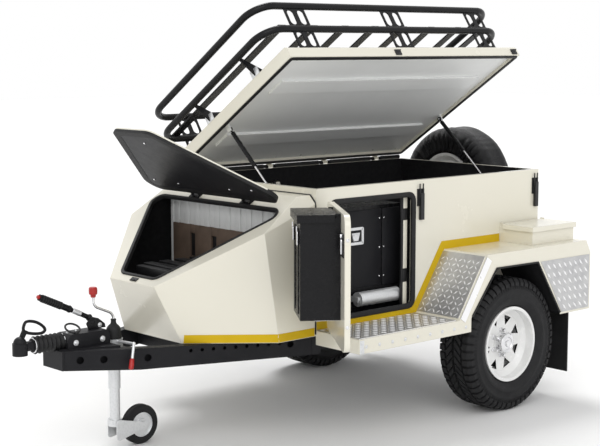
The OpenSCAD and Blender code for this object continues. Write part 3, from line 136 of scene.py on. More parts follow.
def finish(name, colour, shade, mottle, rough, grain=(300, 0.0002), edge=0.0, **sockets):
    """A finish whose colour drifts from colour to shade, with grain of a scale and a height."""
    material = bpy.data.materials.new(name)
    material.use_nodes = True
    tree = material.node_tree
    bsdf = tree.nodes["Principled BSDF"]
    for key, value in sockets.items():
        bsdf.inputs[key.replace("_", " ")].default_value = value
    drift = grain_of(tree, mottle, 6.0)
    tree.links.new(ramp_of(tree, drift, [(0.32, shade), (0.62, colour)]), bsdf.inputs["Base Color"])
    spread = node_of(tree, "MapRange", **{"To Min": rough[0], "To Max": rough[1]})
    tree.links.new(grain_of(tree, mottle * 4), spread.inputs["Value"])
    tree.links.new(spread.outputs["Result"], bsdf.inputs["Roughness"])
    normal = None
    if edge:
        normal = node_of(tree, "Bevel", samples=4, Radius=edge).outputs["Normal"]
    tree.links.new(bump_of(tree, grain_of(tree, grain[0]), grain[1], normal), bsdf.inputs["Normal"])
    return material


def woven(name, colour, shade, pitch):
    """Cloth with two crossing sets of threads."""
    material = finish(name, colour, shade, 9, (0.28, 0.40), Specular_IOR_Level=0.2)
    tree = material.node_tree
    cross = node_of(tree, "Math", operation="MULTIPLY")
    for i, axis in enumerate(("Y", "Z")):
        threads = texture_of(tree, "Wave", bands_direction=axis, Scale=1 / pitch)
        tree.links.new(threads["Fac"], cross.inputs[i])
    bsdf = tree.nodes["Principled BSDF"]
    folds = bsdf.inputs["Normal"].links[0].from_socket
    tree.links.new(bump_of(tree, cross.outputs["Value"], 0.0006, folds), bsdf.inputs["Normal"])
    return material


def spangled(name, colour, shade):
    """Hot-dip zinc with its crystal pattern."""
    material = finish(name, colour, shade, 20, (0.34, 0.5), (500, 0.0001), 0.001, Metallic=0.7)
    tree = material.node_tree
    cells = texture_of(tree, "Voronoi", Scale=90.0)
    tint = ramp_of(tree, cells["Distance"], [(0.1, shade), (0.7, colour)])
    tree.links.new(tint, tree.nodes["Principled BSDF"].inputs["Base Color"])
    return material


def ribbed(name, colour, shade, pitch):
    """A lens moulded with upright flutes."""
    material = finish(name, colour, shade, 12, (0.08, 0.16), Coat_Weight=0.6, Coat_Roughness=0.05)
    tree = material.node_tree
    flutes = texture_of(tree, "Wave", bands_direction="Y", Scale=1 / pitch)
    tree.links.new(bump_of(tree, flutes["Fac"], 0.0015), tree.nodes["Principled BSDF"].inputs["Normal"])
    return material


CREAM = finish("cream_paint", (0.80, 0.77, 0.66), (0.785, 0.755, 0.645), 1.2, (0.22, 0.30), (420, 0.00005),
               0.004, Coat_Weight=0.5, Coat_Roughness=0.12)
CHARCOAL = finish("charcoal_paint", (0.015, 0.015, 0.017), (0.010, 0.010, 0.012), 6, (0.38, 0.52),
                  (600, 0.0002), 0.003, Specular_IOR_Level=0.16)
BLACK_STEEL = finish("black_steel", (0.011, 0.011, 0.012), (0.0095, 0.0095, 0.0105), 8, (0.22, 0.32),
                     (700, 0.0001), 0.002, Specular_IOR_Level=0.16)
TREAD = finish("tread_plate", (0.56, 0.56, 0.56), (0.46, 0.46, 0.47), 24, (0.30, 0.46), (260, 0.0003),
               Metallic=0.7)
# Painted highlight: a lighter, smoother copy of the tread plate's metal, for its raised lugs and outward
# flanges.
TREAD_LUG_HIGHLIGHT = finish("tread_lug_painted_highlight", (0.93, 0.93, 0.93), (0.88, 0.88, 0.89), 6, (0.24, 0.34), (80, 0.00005),
                   Metallic=0.6)
GALVANISED = spangled("galvanised", (0.76, 0.77, 0.78), (0.70, 0.71, 0.72))
WHITE = finish("white_rim", (0.86, 0.86, 0.85), (0.80, 0.80, 0.79), 7, (0.20, 0.32), (400, 0.0001),
               0.002, Coat_Weight=0.4, Coat_Roughness=0.1)
TYRE = finish("tyre_rubber", (0.014, 0.014, 0.015), (0.008, 0.008, 0.009), 24, (0.60, 0.82), (900, 0.0005),
              Specular_IOR_Level=0.3)
RUBBER = finish("rubber", (0.010, 0.010, 0.011), (0.006, 0.006, 0.006), 18, (0.50, 0.72), (700, 0.0003),
                Specular_IOR_Level=0.35)
LINER = finish("grey_liner", (0.84, 0.85, 0.84), (0.78, 0.79, 0.78), 1.4, (0.34, 0.46), (240, 0.0002),
               0.003)
CLOTH = woven("cover_cloth", (0.008, 0.008, 0.009), (0.005, 0.005, 0.006), 0.0045)
LAMP = ribbed("lamp_red", (0.52, 0.02, 0.02), (0.36, 0.01, 0.01), 0.012)
PLASTIC = finish("black_plastic", (0.013, 0.013, 0.014), (0.008, 0.008, 0.009), 14, (0.36, 0.52),
                 (1200, 0.0003), 0.003, Specular_IOR_Level=0.4)
CHROME = finish("bright_steel", (0.80, 0.80, 0.81), (0.68, 0.68, 0.70), 40, (0.08, 0.22), (500, 0.0001),
                0.001, Metallic=1.0)
YELLOW = finish("stripe_tape", (0.66, 0.44, 0.006), (0.60, 0.39, 0.005), 5, (0.34, 0.46), (300, 0.00005),
                Specular_IOR_Level=0.2)
RED = finish("red_grip", (0.46, 0.016, 0.013), (0.36, 0.011, 0.009), 30, (0.25, 0.4), (600, 0.0003))
BROWN = finish("brown_board", (0.16, 0.11, 0.080), (0.10, 0.070, 0.050), 9, (0.6, 0.8), (200, 0.0006))
# Black lining of the tub, floor and nose, also used as painted shade inside the wheel arches.
LINING_AND_ARCH_SHADE = finish("black_lining_and_arch_shade", (0.012, 0.012, 0.013), (0.007, 0.007, 0.008), 40, (0.8, 0.95),
                (900, 0.0008), Specular_IOR_Level=0.2)

FINISHES = (
    (CREAM, ("tub_wall_left", "tub_wall_right", "tub_wall_front", "tub_wall_rear", "nose_shell", "fenders",
             "fender_boxes", "lid_shell", "door_left", "door_right", "box_lid_left", "box_lid_right",
             "hatch_panel")),
    (CHARCOAL, ("drawbar", "chassis", "coupling_head", "coupling_housing")),
    (BLACK_STEEL, ("axle", "leaf_springs", "coupling_handle", "handbrake_lever", "jockey_crank", "cabinet",
                   "spare_carrier", "hinge_bases", "rack_frame", "rack_slats", "strut_barrels",
                   "can_box_left", "can_box_right", "can_lid_left", "can_lid_right")),
    (TREAD, ("tread_plates",)),
    (GALVANISED, ("jockey_sleeve", "jockey_leg", "jockey_fork", "tub_floor", "roll_holder")),
    (WHITE, ("wheel_left", "wheel_right", "spare_rim")),
    (TYRE, ("tyre_left", "tyre_right", "jockey_wheel")),
    (RUBBER, ("coupling_gaiter", "mudflaps")),
    (LINER, ("lid_liner",)),
    (CLOTH, ("spare_cover",)),
    (LAMP, ("tail_lamps",)),
    (PLASTIC, ("lid_latches", "breakaway_ring")),
    (CHROME, ("strut_rods",)),
)
for material, names in FINISHES:
    for name in names:
        NODES[name].data.materials.clear()
        NODES[name].data.materials.append(material)


def repaint(name, material, chosen):
    """Gives a second finish to the faces of a CAD node that chosen(centre, normal) picks."""
    mesh = NODES[name].data
    mesh.materials.append(material)
    for face in mesh.polygons:
        if chosen(face.center, face.normal):
            face.material_index = len(mesh.materials) - 1


def in_arch(c, n):
    """Picks the fender's faces that line the wheel arch, which are painted black as the arch's shade."""
    to_axle = Vector((AXLE_X - c.x, 0, AXLE_Z - c.z))
    near = abs(c.x - AXLE_X) < 0.400 and c.z < FENDER_Z - 0.030 and abs(c.y) < FENDER_HALF - 0.001
    return near and abs(n.y) < 0.5 and n.dot(to_axle) > 0


repaint("tub_wall_left", LINING_AND_ARCH_SHADE, lambda c, n: n.y > 0.5)
repaint("tub_wall_right", LINING_AND_ARCH_SHADE, lambda c, n: n.y < -0.5)
repaint("tub_wall_front", LINING_AND_ARCH_SHADE, lambda c, n: n.x > 0.5)
repaint("tub_wall_rear", LINING_AND_ARCH_SHADE, lambda c, n: n.x < -0.5)
repaint("tub_floor", LINING_AND_ARCH_SHADE, lambda c, n: n.z > 0.5)
# Painted shade: the wheel arches are given the black lining.
repaint("fenders", LINING_AND_ARCH_SHADE, in_arch)


WINDOW_R = (0.085, 0.155)


def behind_disc(c, n):
    """Picks the wheel's faces behind its disc, and the walls of the windows in it, which are painted black as
    the shade seen through the windows.
    """
    r = math.hypot(c.x - AXLE_X, c.z - AXLE_Z)
    behind = abs(c.y) < WHEEL_Y + 0.010
    return r < WINDOW_R[1] and (behind or (abs(n.y) < 0.3 and r > WINDOW_R[0]))


# Painted shade: the white wheel's back and window walls get the black finish.
for wheel in ("wheel_left", "wheel_right"):
    repaint(wheel, BLACK_STEEL, behind_disc)


# Mesh tools

def piece(name, bm, material, body, move=None, sharp=35.0):
    """Turns a bmesh into a piece that rides on a body, and returns its object."""
    if move:
        bm.transform(move)
    bmesh.ops.recalc_face_normals(bm, faces=bm.faces)
    mesh = bpy.data.meshes.new(name)
    bm.to_mesh(mesh)
    bm.free()
    mesh.polygons.foreach_set("use_smooth", [True] * len(mesh.polygons))
    mesh.set_sharp_from_angle(angle=math.radians(sharp))
    mesh.materials.append(material)
    obj = bpy.data.objects.new(name, mesh)
    bpy.context.collection.objects.link(obj)
    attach(obj, body)
    return obj


def add_block(bm, corner, opposite, r=0.002):
    """A box with rounded edges between two opposite corners."""
    low, high = (Vector([pick(pair) for pair in zip(corner, opposite)]) for pick in (min, max))
    size = Matrix.Diagonal((*(high - low), 1.0))
    made = bmesh.ops.create_cube(bm, size=1.0, matrix=Matrix.Translation((low + high) / 2) @ size)
    edges = list(dict.fromkeys(e for v in made["verts"] for e in v.link_edges))
    bmesh.ops.bevel(bm, geom=edges, offset=r, segments=2, profile=0.5, affect="EDGES")


def add_rings(bm, rings, closed=False, caps=True):
    """Skins a list of rings of points, each with the same count, into one surface."""
    loops = [[bm.verts.new(p) for p in ring] for ring in rings]
    count = len(loops[0])
    pairs = list(zip(loops, loops[1:])) + ([(loops[-1], loops[0])] if closed else [])
    for a, b in pairs:
        for i in range(count):
            bm.faces.new((a[i], a[(i + 1) % count], b[(i + 1) % count], b[i]))
    if caps and not closed:
        bm.faces.new(loops[0])
        bm.faces.new(reversed(loops[-1]))


def add_sweep(bm, path, profile, up, closed=True):
    """Sweeps a profile along a path: its first number runs outward in the path's plane, its second up."""
    path = [Vector(p) for p in path]
    up = Vector(up).normalized()
    count = len(path)
    rings = []
    for i, point in enumerate(path):
        before = path[i - 1] if closed or i else point
        after = path[(i + 1) % count] if closed or i + 1 < count else point
        out = (after - before).normalized().cross(up)
        rings.append([point + out * u + up * v for u, v in profile])
    add_rings(bm, rings, closed)


def add_tube(bm, path, r, sides=12, closed=False):
    """A round tube along a path in one plane or straight."""
    path = [Vector(p) for p in path]
    side = (path[1] - path[0]).orthogonal()
    for a, b in zip(path[1:], path[2:]):
        turn = (a - path[0]).cross(b - a)
        if turn.length > 1e-6:
            side = turn
            break
    circle = [(r * math.cos(t), r * math.sin(t))
              for t in (2 * math.pi * i / sides for i in range(sides))]
    add_sweep(bm, path, circle, side, closed)


def add_lathe(bm, profile, centre, axis, steps=48, caps=False):
    """Turns a profile of radius and distance along axis about a centre."""
    turn = Vector((0, 0, 1)).rotation_difference(Vector(axis)).to_matrix().to_4x4()
    place = Matrix.Translation(centre) @ turn
    rings = []
    for r, along in profile:
        ring = []
        for i in range(steps):
            t = 2 * math.pi * i / steps
            ring.append(place @ Vector((r * math.cos(t), r * math.sin(t), along)))
        rings.append(ring)
    add_rings(bm, rings, caps=caps)


def add_bolt(bm, at, axis, r=0.008, h=0.006):
    """A hexagon head on a washer."""
    add_lathe(bm, [(r * 1.45, -0.001), (r * 1.45, h * 0.25), (r * 1.1, h * 0.3)], at, axis, 16, True)
    add_lathe(bm, [(r, h * 0.25), (r, h * 0.85), (r * 0.8, h)], at, axis, 6, True)


def add_screw(bm, at, axis, r=0.006):
    """A domed screw head."""
    add_lathe(bm, [(r, -0.001), (r, r * 0.2), (r * 0.75, r * 0.5), (r * 0.3, r * 0.6)], at, axis, 14, True)


def rounded(corners, r, steps=6):
    """A convex outline of corner centres, given anticlockwise, grown by r with round corners."""
    points = []
    count = len(corners)
    for i, corner in enumerate(corners):
        c = Vector(corner)
        before = c - Vector(corners[i - 1])
        after = Vector(corners[(i + 1) % count]) - c
        a0 = math.atan2(-before.x, before.y)
        a1 = math.atan2(-after.x, after.y)
        while a1 < a0:
            a1 += 2 * math.pi
        for k in range(steps + 1):
            a = a0 + (a1 - a0) * k / steps
            points.append((c.x + r * math.cos(a), c.y + r * math.sin(a)))
    return points


def round_rect(x0, x1, y0, y1, r):
    return rounded([(x0 + r, y0 + r), (x1 - r, y0 + r), (x1 - r, y1 - r), (x0 + r, y1 - r)], r)


def side_loop(outline, y, side):
    """An outline of x and z set at y, in the order that makes add_sweep's first number run outward."""
    loop = [(x, y, z) for x, z in outline]
    return loop if side < 0 else loop[::-1]


def both(dress):
    """Dresses the left side, then the right."""
    for side, name in zip(SIDES, ("left", "right")):
        dress(side, name)


def swing(joint):
    """Takes a panel drawn closed to where it stands at rest, open."""
    at = Vector(JOINTS[joint]["pos_m"])
    angle = -math.radians(JOINTS[joint]["range_deg"][0])
    turn = Matrix.Rotation(angle, 4, Vector(JOINTS[joint]["axis"]))
    return Matrix.Translation(at) @ turn @ Matrix.Translation(-at)


# The plane of the nose's top: x up the slope from the tip, z off the surface
ON_SLOPE = Matrix.Translation(NOSE_TIP) @ Matrix.Rotation(-NOSE_SLOPE, 4, "Y")


# Wheels

TREAD_PITCHES = 52
TREAD_LOW_R = TYRE_R - 0.014
LUG_COUNT = 6
LUG_CIRCLE_R = 0.0698
DISC_Y = 0.024
RIM_R = 0.2075


def add_arc_block(bm, profile, start, end, skew, centre, steps=2):
    """A tread block: a profile of sideways place and radius, carried round from start to end."""
    rings = []
    for k in range(steps + 1):
        t = start + (end - start) * k / steps
        rings.append([centre + Vector((r * math.cos(t + skew * y), y, r * math.sin(t + skew * y)))
                      for y, r in profile])
    add_rings(bm, rings)


def dress_wheel(side, name):
    centre = Vector((AXLE_X, side * WHEEL_Y, AXLE_Z))
    half = TYRE_W / 2
    bm = bmesh.new()
    wall = [(RIM_R + 0.001, 0.078), (RIM_R + 0.006, 0.094), (RIM_R + 0.022, 0.107), (0.247, 0.1135),
            (0.250, 0.1155), (0.262, 0.1165), (0.265, 0.1150), (0.292, 0.1135), (0.296, 0.1148),
            (0.303, 0.1146), (0.306, 0.1128), (0.326, 0.108), (0.344, 0.098), (TREAD_LOW_R, 0.086)]
    section = wall + [(r, -y) for r, y in reversed(wall)]
    add_lathe(bm, section, centre, (0, 1, 0), 120)
    shoulder = [(0.060, TREAD_LOW_R - 0.004), (0.061, TYRE_R - 0.001), (0.095, TYRE_R - 0.003),
                (half - 0.004, 0.342), (half - 0.002, 0.324), (half - 0.012, 0.320)]
    middle = [(0.008, TREAD_LOW_R - 0.004), (0.009, TYRE_R), (0.050, TYRE_R - 0.0005),
              (0.051, TREAD_LOW_R - 0.004)]
    step = 2 * math.pi / TREAD_PITCHES
    for i in range(TREAD_PITCHES):
        for hand in SIDES:
            phase = i * step + (0.5 * step if hand > 0 else 0)
            reach = 0.66 if i % 2 else 0.74
            for profile, skew, late in ((shoulder, 0.0, 0.0), (middle, 3.0, 0.45)):
                start = phase + late * step
                add_arc_block(bm, [(hand * y, r) for y, r in profile], start, start + reach * step,
                              hand * skew, centre)
    for i in range(2 * TREAD_PITCHES):
        t = i * step / 2
        for hand in SIDES:
            rib = [(hand * 0.1125, 0.3065), (hand * 0.1142, 0.3075), (hand * 0.1125, 0.3215)]
            add_arc_block(bm, rib, t, t + 0.16 * step, 0.0, centre, 1)
    tyre = piece("tread_tyre_" + name, bm, TYRE, "wheel_" + name, sharp=30.0)
    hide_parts("tyre_" + name)

    out = Vector((0, side, 0))
    bm = bmesh.new()
    cap = [(0.055, 0.030), (0.056, 0.068), (0.052, 0.075), (0.034, 0.079), (0.031, 0.075), (0.020, 0.075),
           (0.017, 0.082), (0.004, 0.084)]
    add_lathe(bm, cap, centre, out, 48, True)
    for i in range(LUG_COUNT):
        t = 2 * math.pi * (i + 0.5) / LUG_COUNT
        at = centre + Vector((LUG_CIRCLE_R * math.cos(t), 0, LUG_CIRCLE_R * math.sin(t))) + out * DISC_Y
        add_lathe(bm, [(0.014, -0.001), (0.014, 0.004), (0.011, 0.006)], at, out, 16, True)
        add_lathe(bm, [(0.0105, 0.005), (0.0105, 0.028), (0.0080, 0.033), (0.003, 0.035)], at, out, 6, True)
    piece("hub_cap_" + name, bm, CHROME, "wheel_" + name)

    bm = bmesh.new()
    valve = centre + Vector((-0.178, 0, 0)) + out * 0.050
    add_lathe(bm, [(0.009, -0.004), (0.008, 0.010), (0.005, 0.012), (0.005, 0.034), (0.003, 0.036)],
              valve, (0.5, 0.8 * side, 0), 14, True)
    piece("valve_" + name, bm, RUBBER, "wheel_" + name)


both(dress_wheel)

JOCKEY_LOW, JOCKEY_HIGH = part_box("jockey_wheel")
JOCKEY_CENTRE = (Vector(JOCKEY_LOW) + Vector(JOCKEY_HIGH)) / 2
JOCKEY_RIM_R = 0.0625
repaint("jockey_wheel", GALVANISED,
        lambda c, n: Vector((c.x - JOCKEY_CENTRE.x, c.z - JOCKEY_CENTRE.z)).length < JOCKEY_RIM_R)


# Tread plate, bolts and trim on the fenders

LUG_L, LUG_W, LUG_H, LUG_PITCH = 0.030, 0.0085, 0.0022, 0.031
PLATE_EDGE = 0.024


def add_lug(bm, at, along, across, up):
    """One raised lozenge of tread plate, whose length is along and width is across."""
    base = [at + along / 2, at + across / 2, at - along / 2, at - across / 2]
    ends, sides = 0.3, 0.2
    top = [at + along * ends, at + across * sides, at - along * ends, at - across * sides]
    add_rings(bm, [base, [p + up * LUG_H for p in top]])


def add_lugs(bm, corner, u, v, up, size, inside=lambda a, b: True, one_way=False, grow=1.0):
    """Fills a plate from its corner with lozenges along both diagonals by turns, or along one."""
    u, v, up = Vector(u).normalized(), Vector(v).normalized(), Vector(up).normalized()
    diagonals = ((u + v).normalized(), (v - u).normalized())
    pitch = LUG_PITCH * grow
    for i in range(int(size[0] / pitch)):
        for j in range(int(size[1] / pitch)):
            a, b = (i + 0.5) * pitch, (j + 0.5) * pitch
            if inside(a, b):
                turn = 1 if one_way else (i + j) % 2
                add_lug(bm, Vector(corner) + u * a + v * b, diagonals[turn] * LUG_L * grow,
                        diagonals[1 - turn] * LUG_W * grow, up)


def dress_fender(side, name):
    out = side * FENDER_HALF
    width = FENDER_HALF - TUB_HALF - PLATE_EDGE
    slope = Vector((SLOPE_HEAD_X - SLOPE_FOOT_X, 0, FENDER_Z - LEDGE_Z))
    plate_t = 0.003
    bm = bmesh.new()
    x0 = TUB_FRONT + PLATE_EDGE / 2
    add_lugs(bm, (x0, side * (TUB_HALF + 0.006), LEDGE_Z + plate_t), (1, 0, 0), (0, side, 0), (0, 0, 1),
             (SLOPE_FOOT_X - x0 - PLATE_EDGE, width))
    off = Vector((-slope.z, 0, slope.x)).normalized()
    foot = Vector((SLOPE_FOOT_X, side * (TUB_HALF + 0.006), LEDGE_Z)) + slope.normalized() * PLATE_EDGE / 2
    add_lugs(bm, foot + off * plate_t, slope, (0, side, 0), off, (slope.length - PLATE_EDGE, width))
    low, high = GROUND_Z + 0.505, GROUND_Z + 0.800
    x0, x1 = AXLE_X + 0.200, AXLE_X + 0.640

    def on_panel(a, b):
        return x0 + a > AXLE_X + 0.415 - (b + low - GROUND_Z - 0.500) * 0.66
    add_lugs(bm, (x0, out + side * plate_t, low), (1, 0, 0), (0, 0, 1), (0, side, 0), (x1 - x0, high - low),
             on_panel, True, 1.55)
    # The lugs wear the painted highlight finish.
    piece("plate_lugs_" + name, bm, TREAD_LUG_HIGHLIGHT, "chassis")

    bm = bmesh.new()
    for i in range(9):
        at = (TUB_FRONT + 0.050 + i * 0.092, out, LEDGE_Z - 0.040)
        add_bolt(bm, at, (0, side, 0), 0.0065, 0.005)
    piece("ledge_bolts_" + name, bm, GALVANISED, "chassis")
    bm = bmesh.new()
    bracket_y = out + side * 0.003
    add_block(bm, (TUB_FRONT + 0.004, out, LEDGE_Z - 0.074),
              (TUB_FRONT + 0.034, bracket_y, LEDGE_Z - 0.006), 0.001)
    for z in (LEDGE_Z - 0.058, LEDGE_Z - 0.022):
        add_bolt(bm, (TUB_FRONT + 0.019, bracket_y, z), (0, side, 0), 0.006, 0.005)
    piece("ledge_bracket_" + name, bm, GALVANISED, "chassis")

    bm = bmesh.new()
    arch = [(-0.367, 0.572), (-0.174, 0.809), (0.175, 0.806), (0.381, 0.500)]
    path = [(AXLE_X + x, out + side * 0.001, GROUND_Z + z) for x, z in arch]
    add_sweep(bm, path, [(-0.004, -0.004), (0.006, -0.004), (0.006, 0.004), (-0.004, 0.004)],
              (0, side, 0), False)
    piece("arch_trim_" + name, bm, RUBBER, "chassis")


both(dress_fender)
# Painted highlight on the outward flanges of the ledge and slope plates.
repaint("tread_plates", TREAD_LUG_HIGHLIGHT, lambda c, n: abs(n.y) > 0.5 and c.x < AXLE_X)


# Yellow stripe

STRIPE_W = 0.045
STRIPE_T = 0.0008
NOSE_SKIN = BVHTree.FromPolygons([v.co.copy() for v in NODES["nose_shell"].data.vertices],
                                 [p.vertices[:] for p in NODES["nose_shell"].data.polygons])


def nose_side(x, z, side, off):
    """The point on the nose's side at x and z, set off its skin."""
    hit, normal, _, _ = NOSE_SKIN.ray_cast(Vector((x, side * 2.0, z)), Vector((0, -side, 0)))
    return hit + normal * off


def add_skin(bm, grid):
    """A sheet through a grid of points."""
    rows = [[bm.verts.new(p) for p in row] for row in grid]
    for a, b in zip(rows, rows[1:]):
        for i in range(len(a) - 1):
            bm.faces.new((a[i], a[i + 1], b[i + 1], b[i]))


def dress_stripe(side, name):
    """A flat band along the tub's side, and a band that follows the nose's skin."""
    bm = bmesh.new()
    y = side * (TUB_HALF + STRIPE_T)
    rise = math.atan2(FENDER_Z - LEDGE_Z, SLOPE_HEAD_X - SLOPE_FOOT_X)
    x0, x1 = TUB_FRONT + 0.004, AXLE_X + 0.214
    lower = [(x0, LEDGE_Z + 0.003), (SLOPE_FOOT_X, LEDGE_Z + 0.003), (SLOPE_HEAD_X, FENDER_Z), (x1, FENDER_Z)]
    knee = STRIPE_W * math.tan(rise / 2)
    upper = [(x0, LEDGE_Z + STRIPE_W), (SLOPE_FOOT_X - knee, LEDGE_Z + STRIPE_W),
             (SLOPE_HEAD_X - knee, FENDER_Z + STRIPE_W), (x1, FENDER_Z + STRIPE_W)]
    add_skin(bm, [[(x, y, z) for x, z in line] for line in (lower, upper)])
    front = TUB_FRONT - NOSE_L + NOSE_FOOT_SET + 0.006
    steps = 120
    grid = []
    for z in (FLOOR_Z + 0.003, FLOOR_Z + STRIPE_W / 2, FLOOR_Z + STRIPE_W):
        grid.append([nose_side(front + (TUB_FRONT - 0.010 - front) * i / steps, z, side, STRIPE_T)
                     for i in range(steps + 1)])
    add_skin(bm, grid)
    piece("stripe_" + name, bm, YELLOW, "chassis")


both(dress_stripe)


# Nose, hatch and their seals

NOSE_MID = Vector((TUB_FRONT - 0.30, 0, FLOOR_Z + 0.32))
repaint("nose_shell", LINING_AND_ARCH_SHADE, lambda c, n: n.dot(c - NOSE_MID) < -0.02)
HATCH_UP = Vector((-math.sin(NOSE_SLOPE), 0, math.cos(NOSE_SLOPE)))
HATCH_OPEN = swing("hatch_hinge")
hatch_down = HATCH_OPEN.to_3x3() @ -HATCH_UP
repaint("hatch_panel", CHARCOAL,
        lambda c, n: n.dot(hatch_down) > 0.3 or (n.dot(hatch_down) > -0.6 and n.z < 0.3))
ON_HATCH = HATCH_OPEN @ ON_SLOPE


def hatch_path(grow, height):
    return [(x, y, height) for x, y in rounded(HATCH_CORNERS, HATCH_R + grow, 10)]


bm = bmesh.new()
add_sweep(bm, hatch_path(0.001, 0.0), [(-0.009, -0.016), (0.007, -0.016), (0.007, 0.003), (0.004, 0.0065),
                                       (-0.003, 0.0065), (-0.009, 0.003)], (0, 0, 1))
piece("hatch_opening_seal", bm, RUBBER, "chassis", ON_SLOPE)
bm = bmesh.new()
add_sweep(bm, hatch_path(0.006, 0.009),
          [(-0.030, -0.0012), (0.010, -0.0012), (0.010, 0.004), (-0.030, 0.004)], (0, 0, 1))
add_sweep(bm, hatch_path(0.016, 0.009),
          [(-0.001, -0.0012), (0.002, -0.0012), (0.002, 0.014), (-0.001, 0.014)], (0, 0, 1))
piece("hatch_border", bm, RUBBER, "hatch", ON_HATCH)
bm = bmesh.new()
for x, y in ((0.14, 0.0), (0.56, 0.40), (0.56, -0.40), (0.58, 0.21), (0.58, -0.21)):
    add_screw(bm, (x, y, 0.009), (0, 0, -1), 0.007)
piece("hatch_screws", bm, CHROME, "hatch", ON_HATCH)
bm = bmesh.new()
add_block(bm, (0.070, -0.030, 0.029), (0.110, 0.030, 0.040), 0.003)
add_block(bm, (0.078, -0.012, 0.038), (0.102, 0.012, 0.046), 0.003)
piece("hatch_handle", bm, PLASTIC, "hatch", ON_HATCH)
bm = bmesh.new()
add_block(bm, (0.012, -0.026, -0.002), (0.036, 0.026, 0.003), 0.001)
add_tube(bm, [(0.020, -0.014, 0.001), (0.014, -0.014, 0.006), (0.014, 0.014, 0.006), (0.020, 0.014, 0.001)],
         0.0022, 8)
piece("hatch_striker", bm, PLASTIC, "chassis", ON_SLOPE)

BULKHEAD_X = TUB_FRONT - 0.096
BOARD_FOOT = FLOOR_Z + 0.030
ribs, trim_w, board_t = 22, 0.022, 0.016
top, foot, half = GROUND_Z + 1.180, GROUND_Z + 1.030, 0.480
bm = bmesh.new()
for i in range(ribs):
    y = -half + 2 * half * i / ribs
    face_x = BULKHEAD_X - (0.009 if i % 2 else 0.005)
    add_block(bm, (face_x, y, foot), (BULKHEAD_X, y + 2 * half / ribs, top), 0.001)
for y in (-half - trim_w, half):
    add_block(bm, (BULKHEAD_X - 0.014, y, BOARD_FOOT), (BULKHEAD_X, y + trim_w, top), 0.001)
piece("nose_bulkhead", bm, LINER, "chassis")
bm = bmesh.new()
slots = (0.127, 0.310)
slot_half, slot_low, slot_high = 0.022, GROUND_Z + 0.860, GROUND_Z + 0.985
edges = [-half] + [e for s in slots for e in (s - slot_half, s + slot_half)] + [half]
for y0, y1 in zip(edges[0::2], edges[1::2]):
    add_block(bm, (BULKHEAD_X - board_t, y0, BOARD_FOOT), (BULKHEAD_X, y1, foot), 0.001)
for s in slots:
    for z0, z1 in ((BOARD_FOOT, slot_low), (slot_high, foot)):
        add_block(bm, (BULKHEAD_X - board_t, s - slot_half, z0), (BULKHEAD_X, s + slot_half, z1), 0.001)
piece("nose_board", bm, BROWN, "chassis")
bm = bmesh.new()
for s in slots:
    add_block(bm, (BULKHEAD_X - 0.004, s - slot_half, slot_low),
              (BULKHEAD_X, s + slot_half, slot_high), 0.001)
tray_x0, tray_x1, tray_z = TUB_FRONT - 0.560, BULKHEAD_X - 0.020, FLOOR_Z + 0.335
add_block(bm, (tray_x0, -0.210, tray_z - 0.050), (tray_x1, 0.210, tray_z), 0.008)
for x in (tray_x0 + 0.020, tray_x1 - 0.060):
    for y in (-0.200, 0.160):
        add_block(bm, (x, y, FLOOR_Z + 0.020), (x + 0.040, y + 0.040, tray_z - 0.046), 0.002)
for i in range(5):
    x = tray_x0 + 0.040 + i * 0.100
    add_block(bm, (x, -0.200, tray_z), (x + 0.060, 0.200, tray_z + 0.010), 0.004)
piece("nose_tray", bm, PLASTIC, "chassis")


def dress_nose_side(side, name):
    """A flat dark patch of painted shade where the vent slot sits, and half of the seam that runs up the
    nose's rear edge and over its top.
    """
    # The vent: a dark sheet on the skin, painted shade of the slot.
    bm = bmesh.new()
    x0, x1, z0, z1 = TUB_FRONT - 0.062, TUB_FRONT - 0.044, GROUND_Z + 0.905, GROUND_Z + 1.085
    grid = [[nose_side(x0 + (x1 - x0) * i / 3, z0 + (z1 - z0) * k / 8, side, 0.0012) for i in range(4)]
            for k in range(9)]
    add_skin(bm, grid)
    piece("nose_vent_shade_" + name, bm, RUBBER, "chassis")
    bm = bmesh.new()
    seam_x, seam_z = TUB_FRONT - 0.003, FLOOR_Z + 0.400
    seam = [nose_side(seam_x, FLOOR_Z + 0.010 + (seam_z - FLOOR_Z - 0.010) * k / 12, side, 0.0)
            for k in range(13)]
    steps = 60
    for k in range(1, steps + 1):
        turn = math.pi / 2 * k / steps
        out = Vector((0, side * math.cos(turn), math.sin(turn)))
        seam.append(NOSE_SKIN.ray_cast(Vector((seam_x, 0, seam_z)) + out * 2.0, -out)[0])
    add_tube(bm, seam, 0.0045, 8)
    piece("nose_seam_" + name, bm, RUBBER, "chassis")


both(dress_nose_side)


# Doors, their openings and can boxes

SEAL = [(-0.016, -0.010), (0.012, -0.010), (0.012, 0.003), (0.006, 0.008), (-0.006, 0.008), (-0.016, 0.002)]


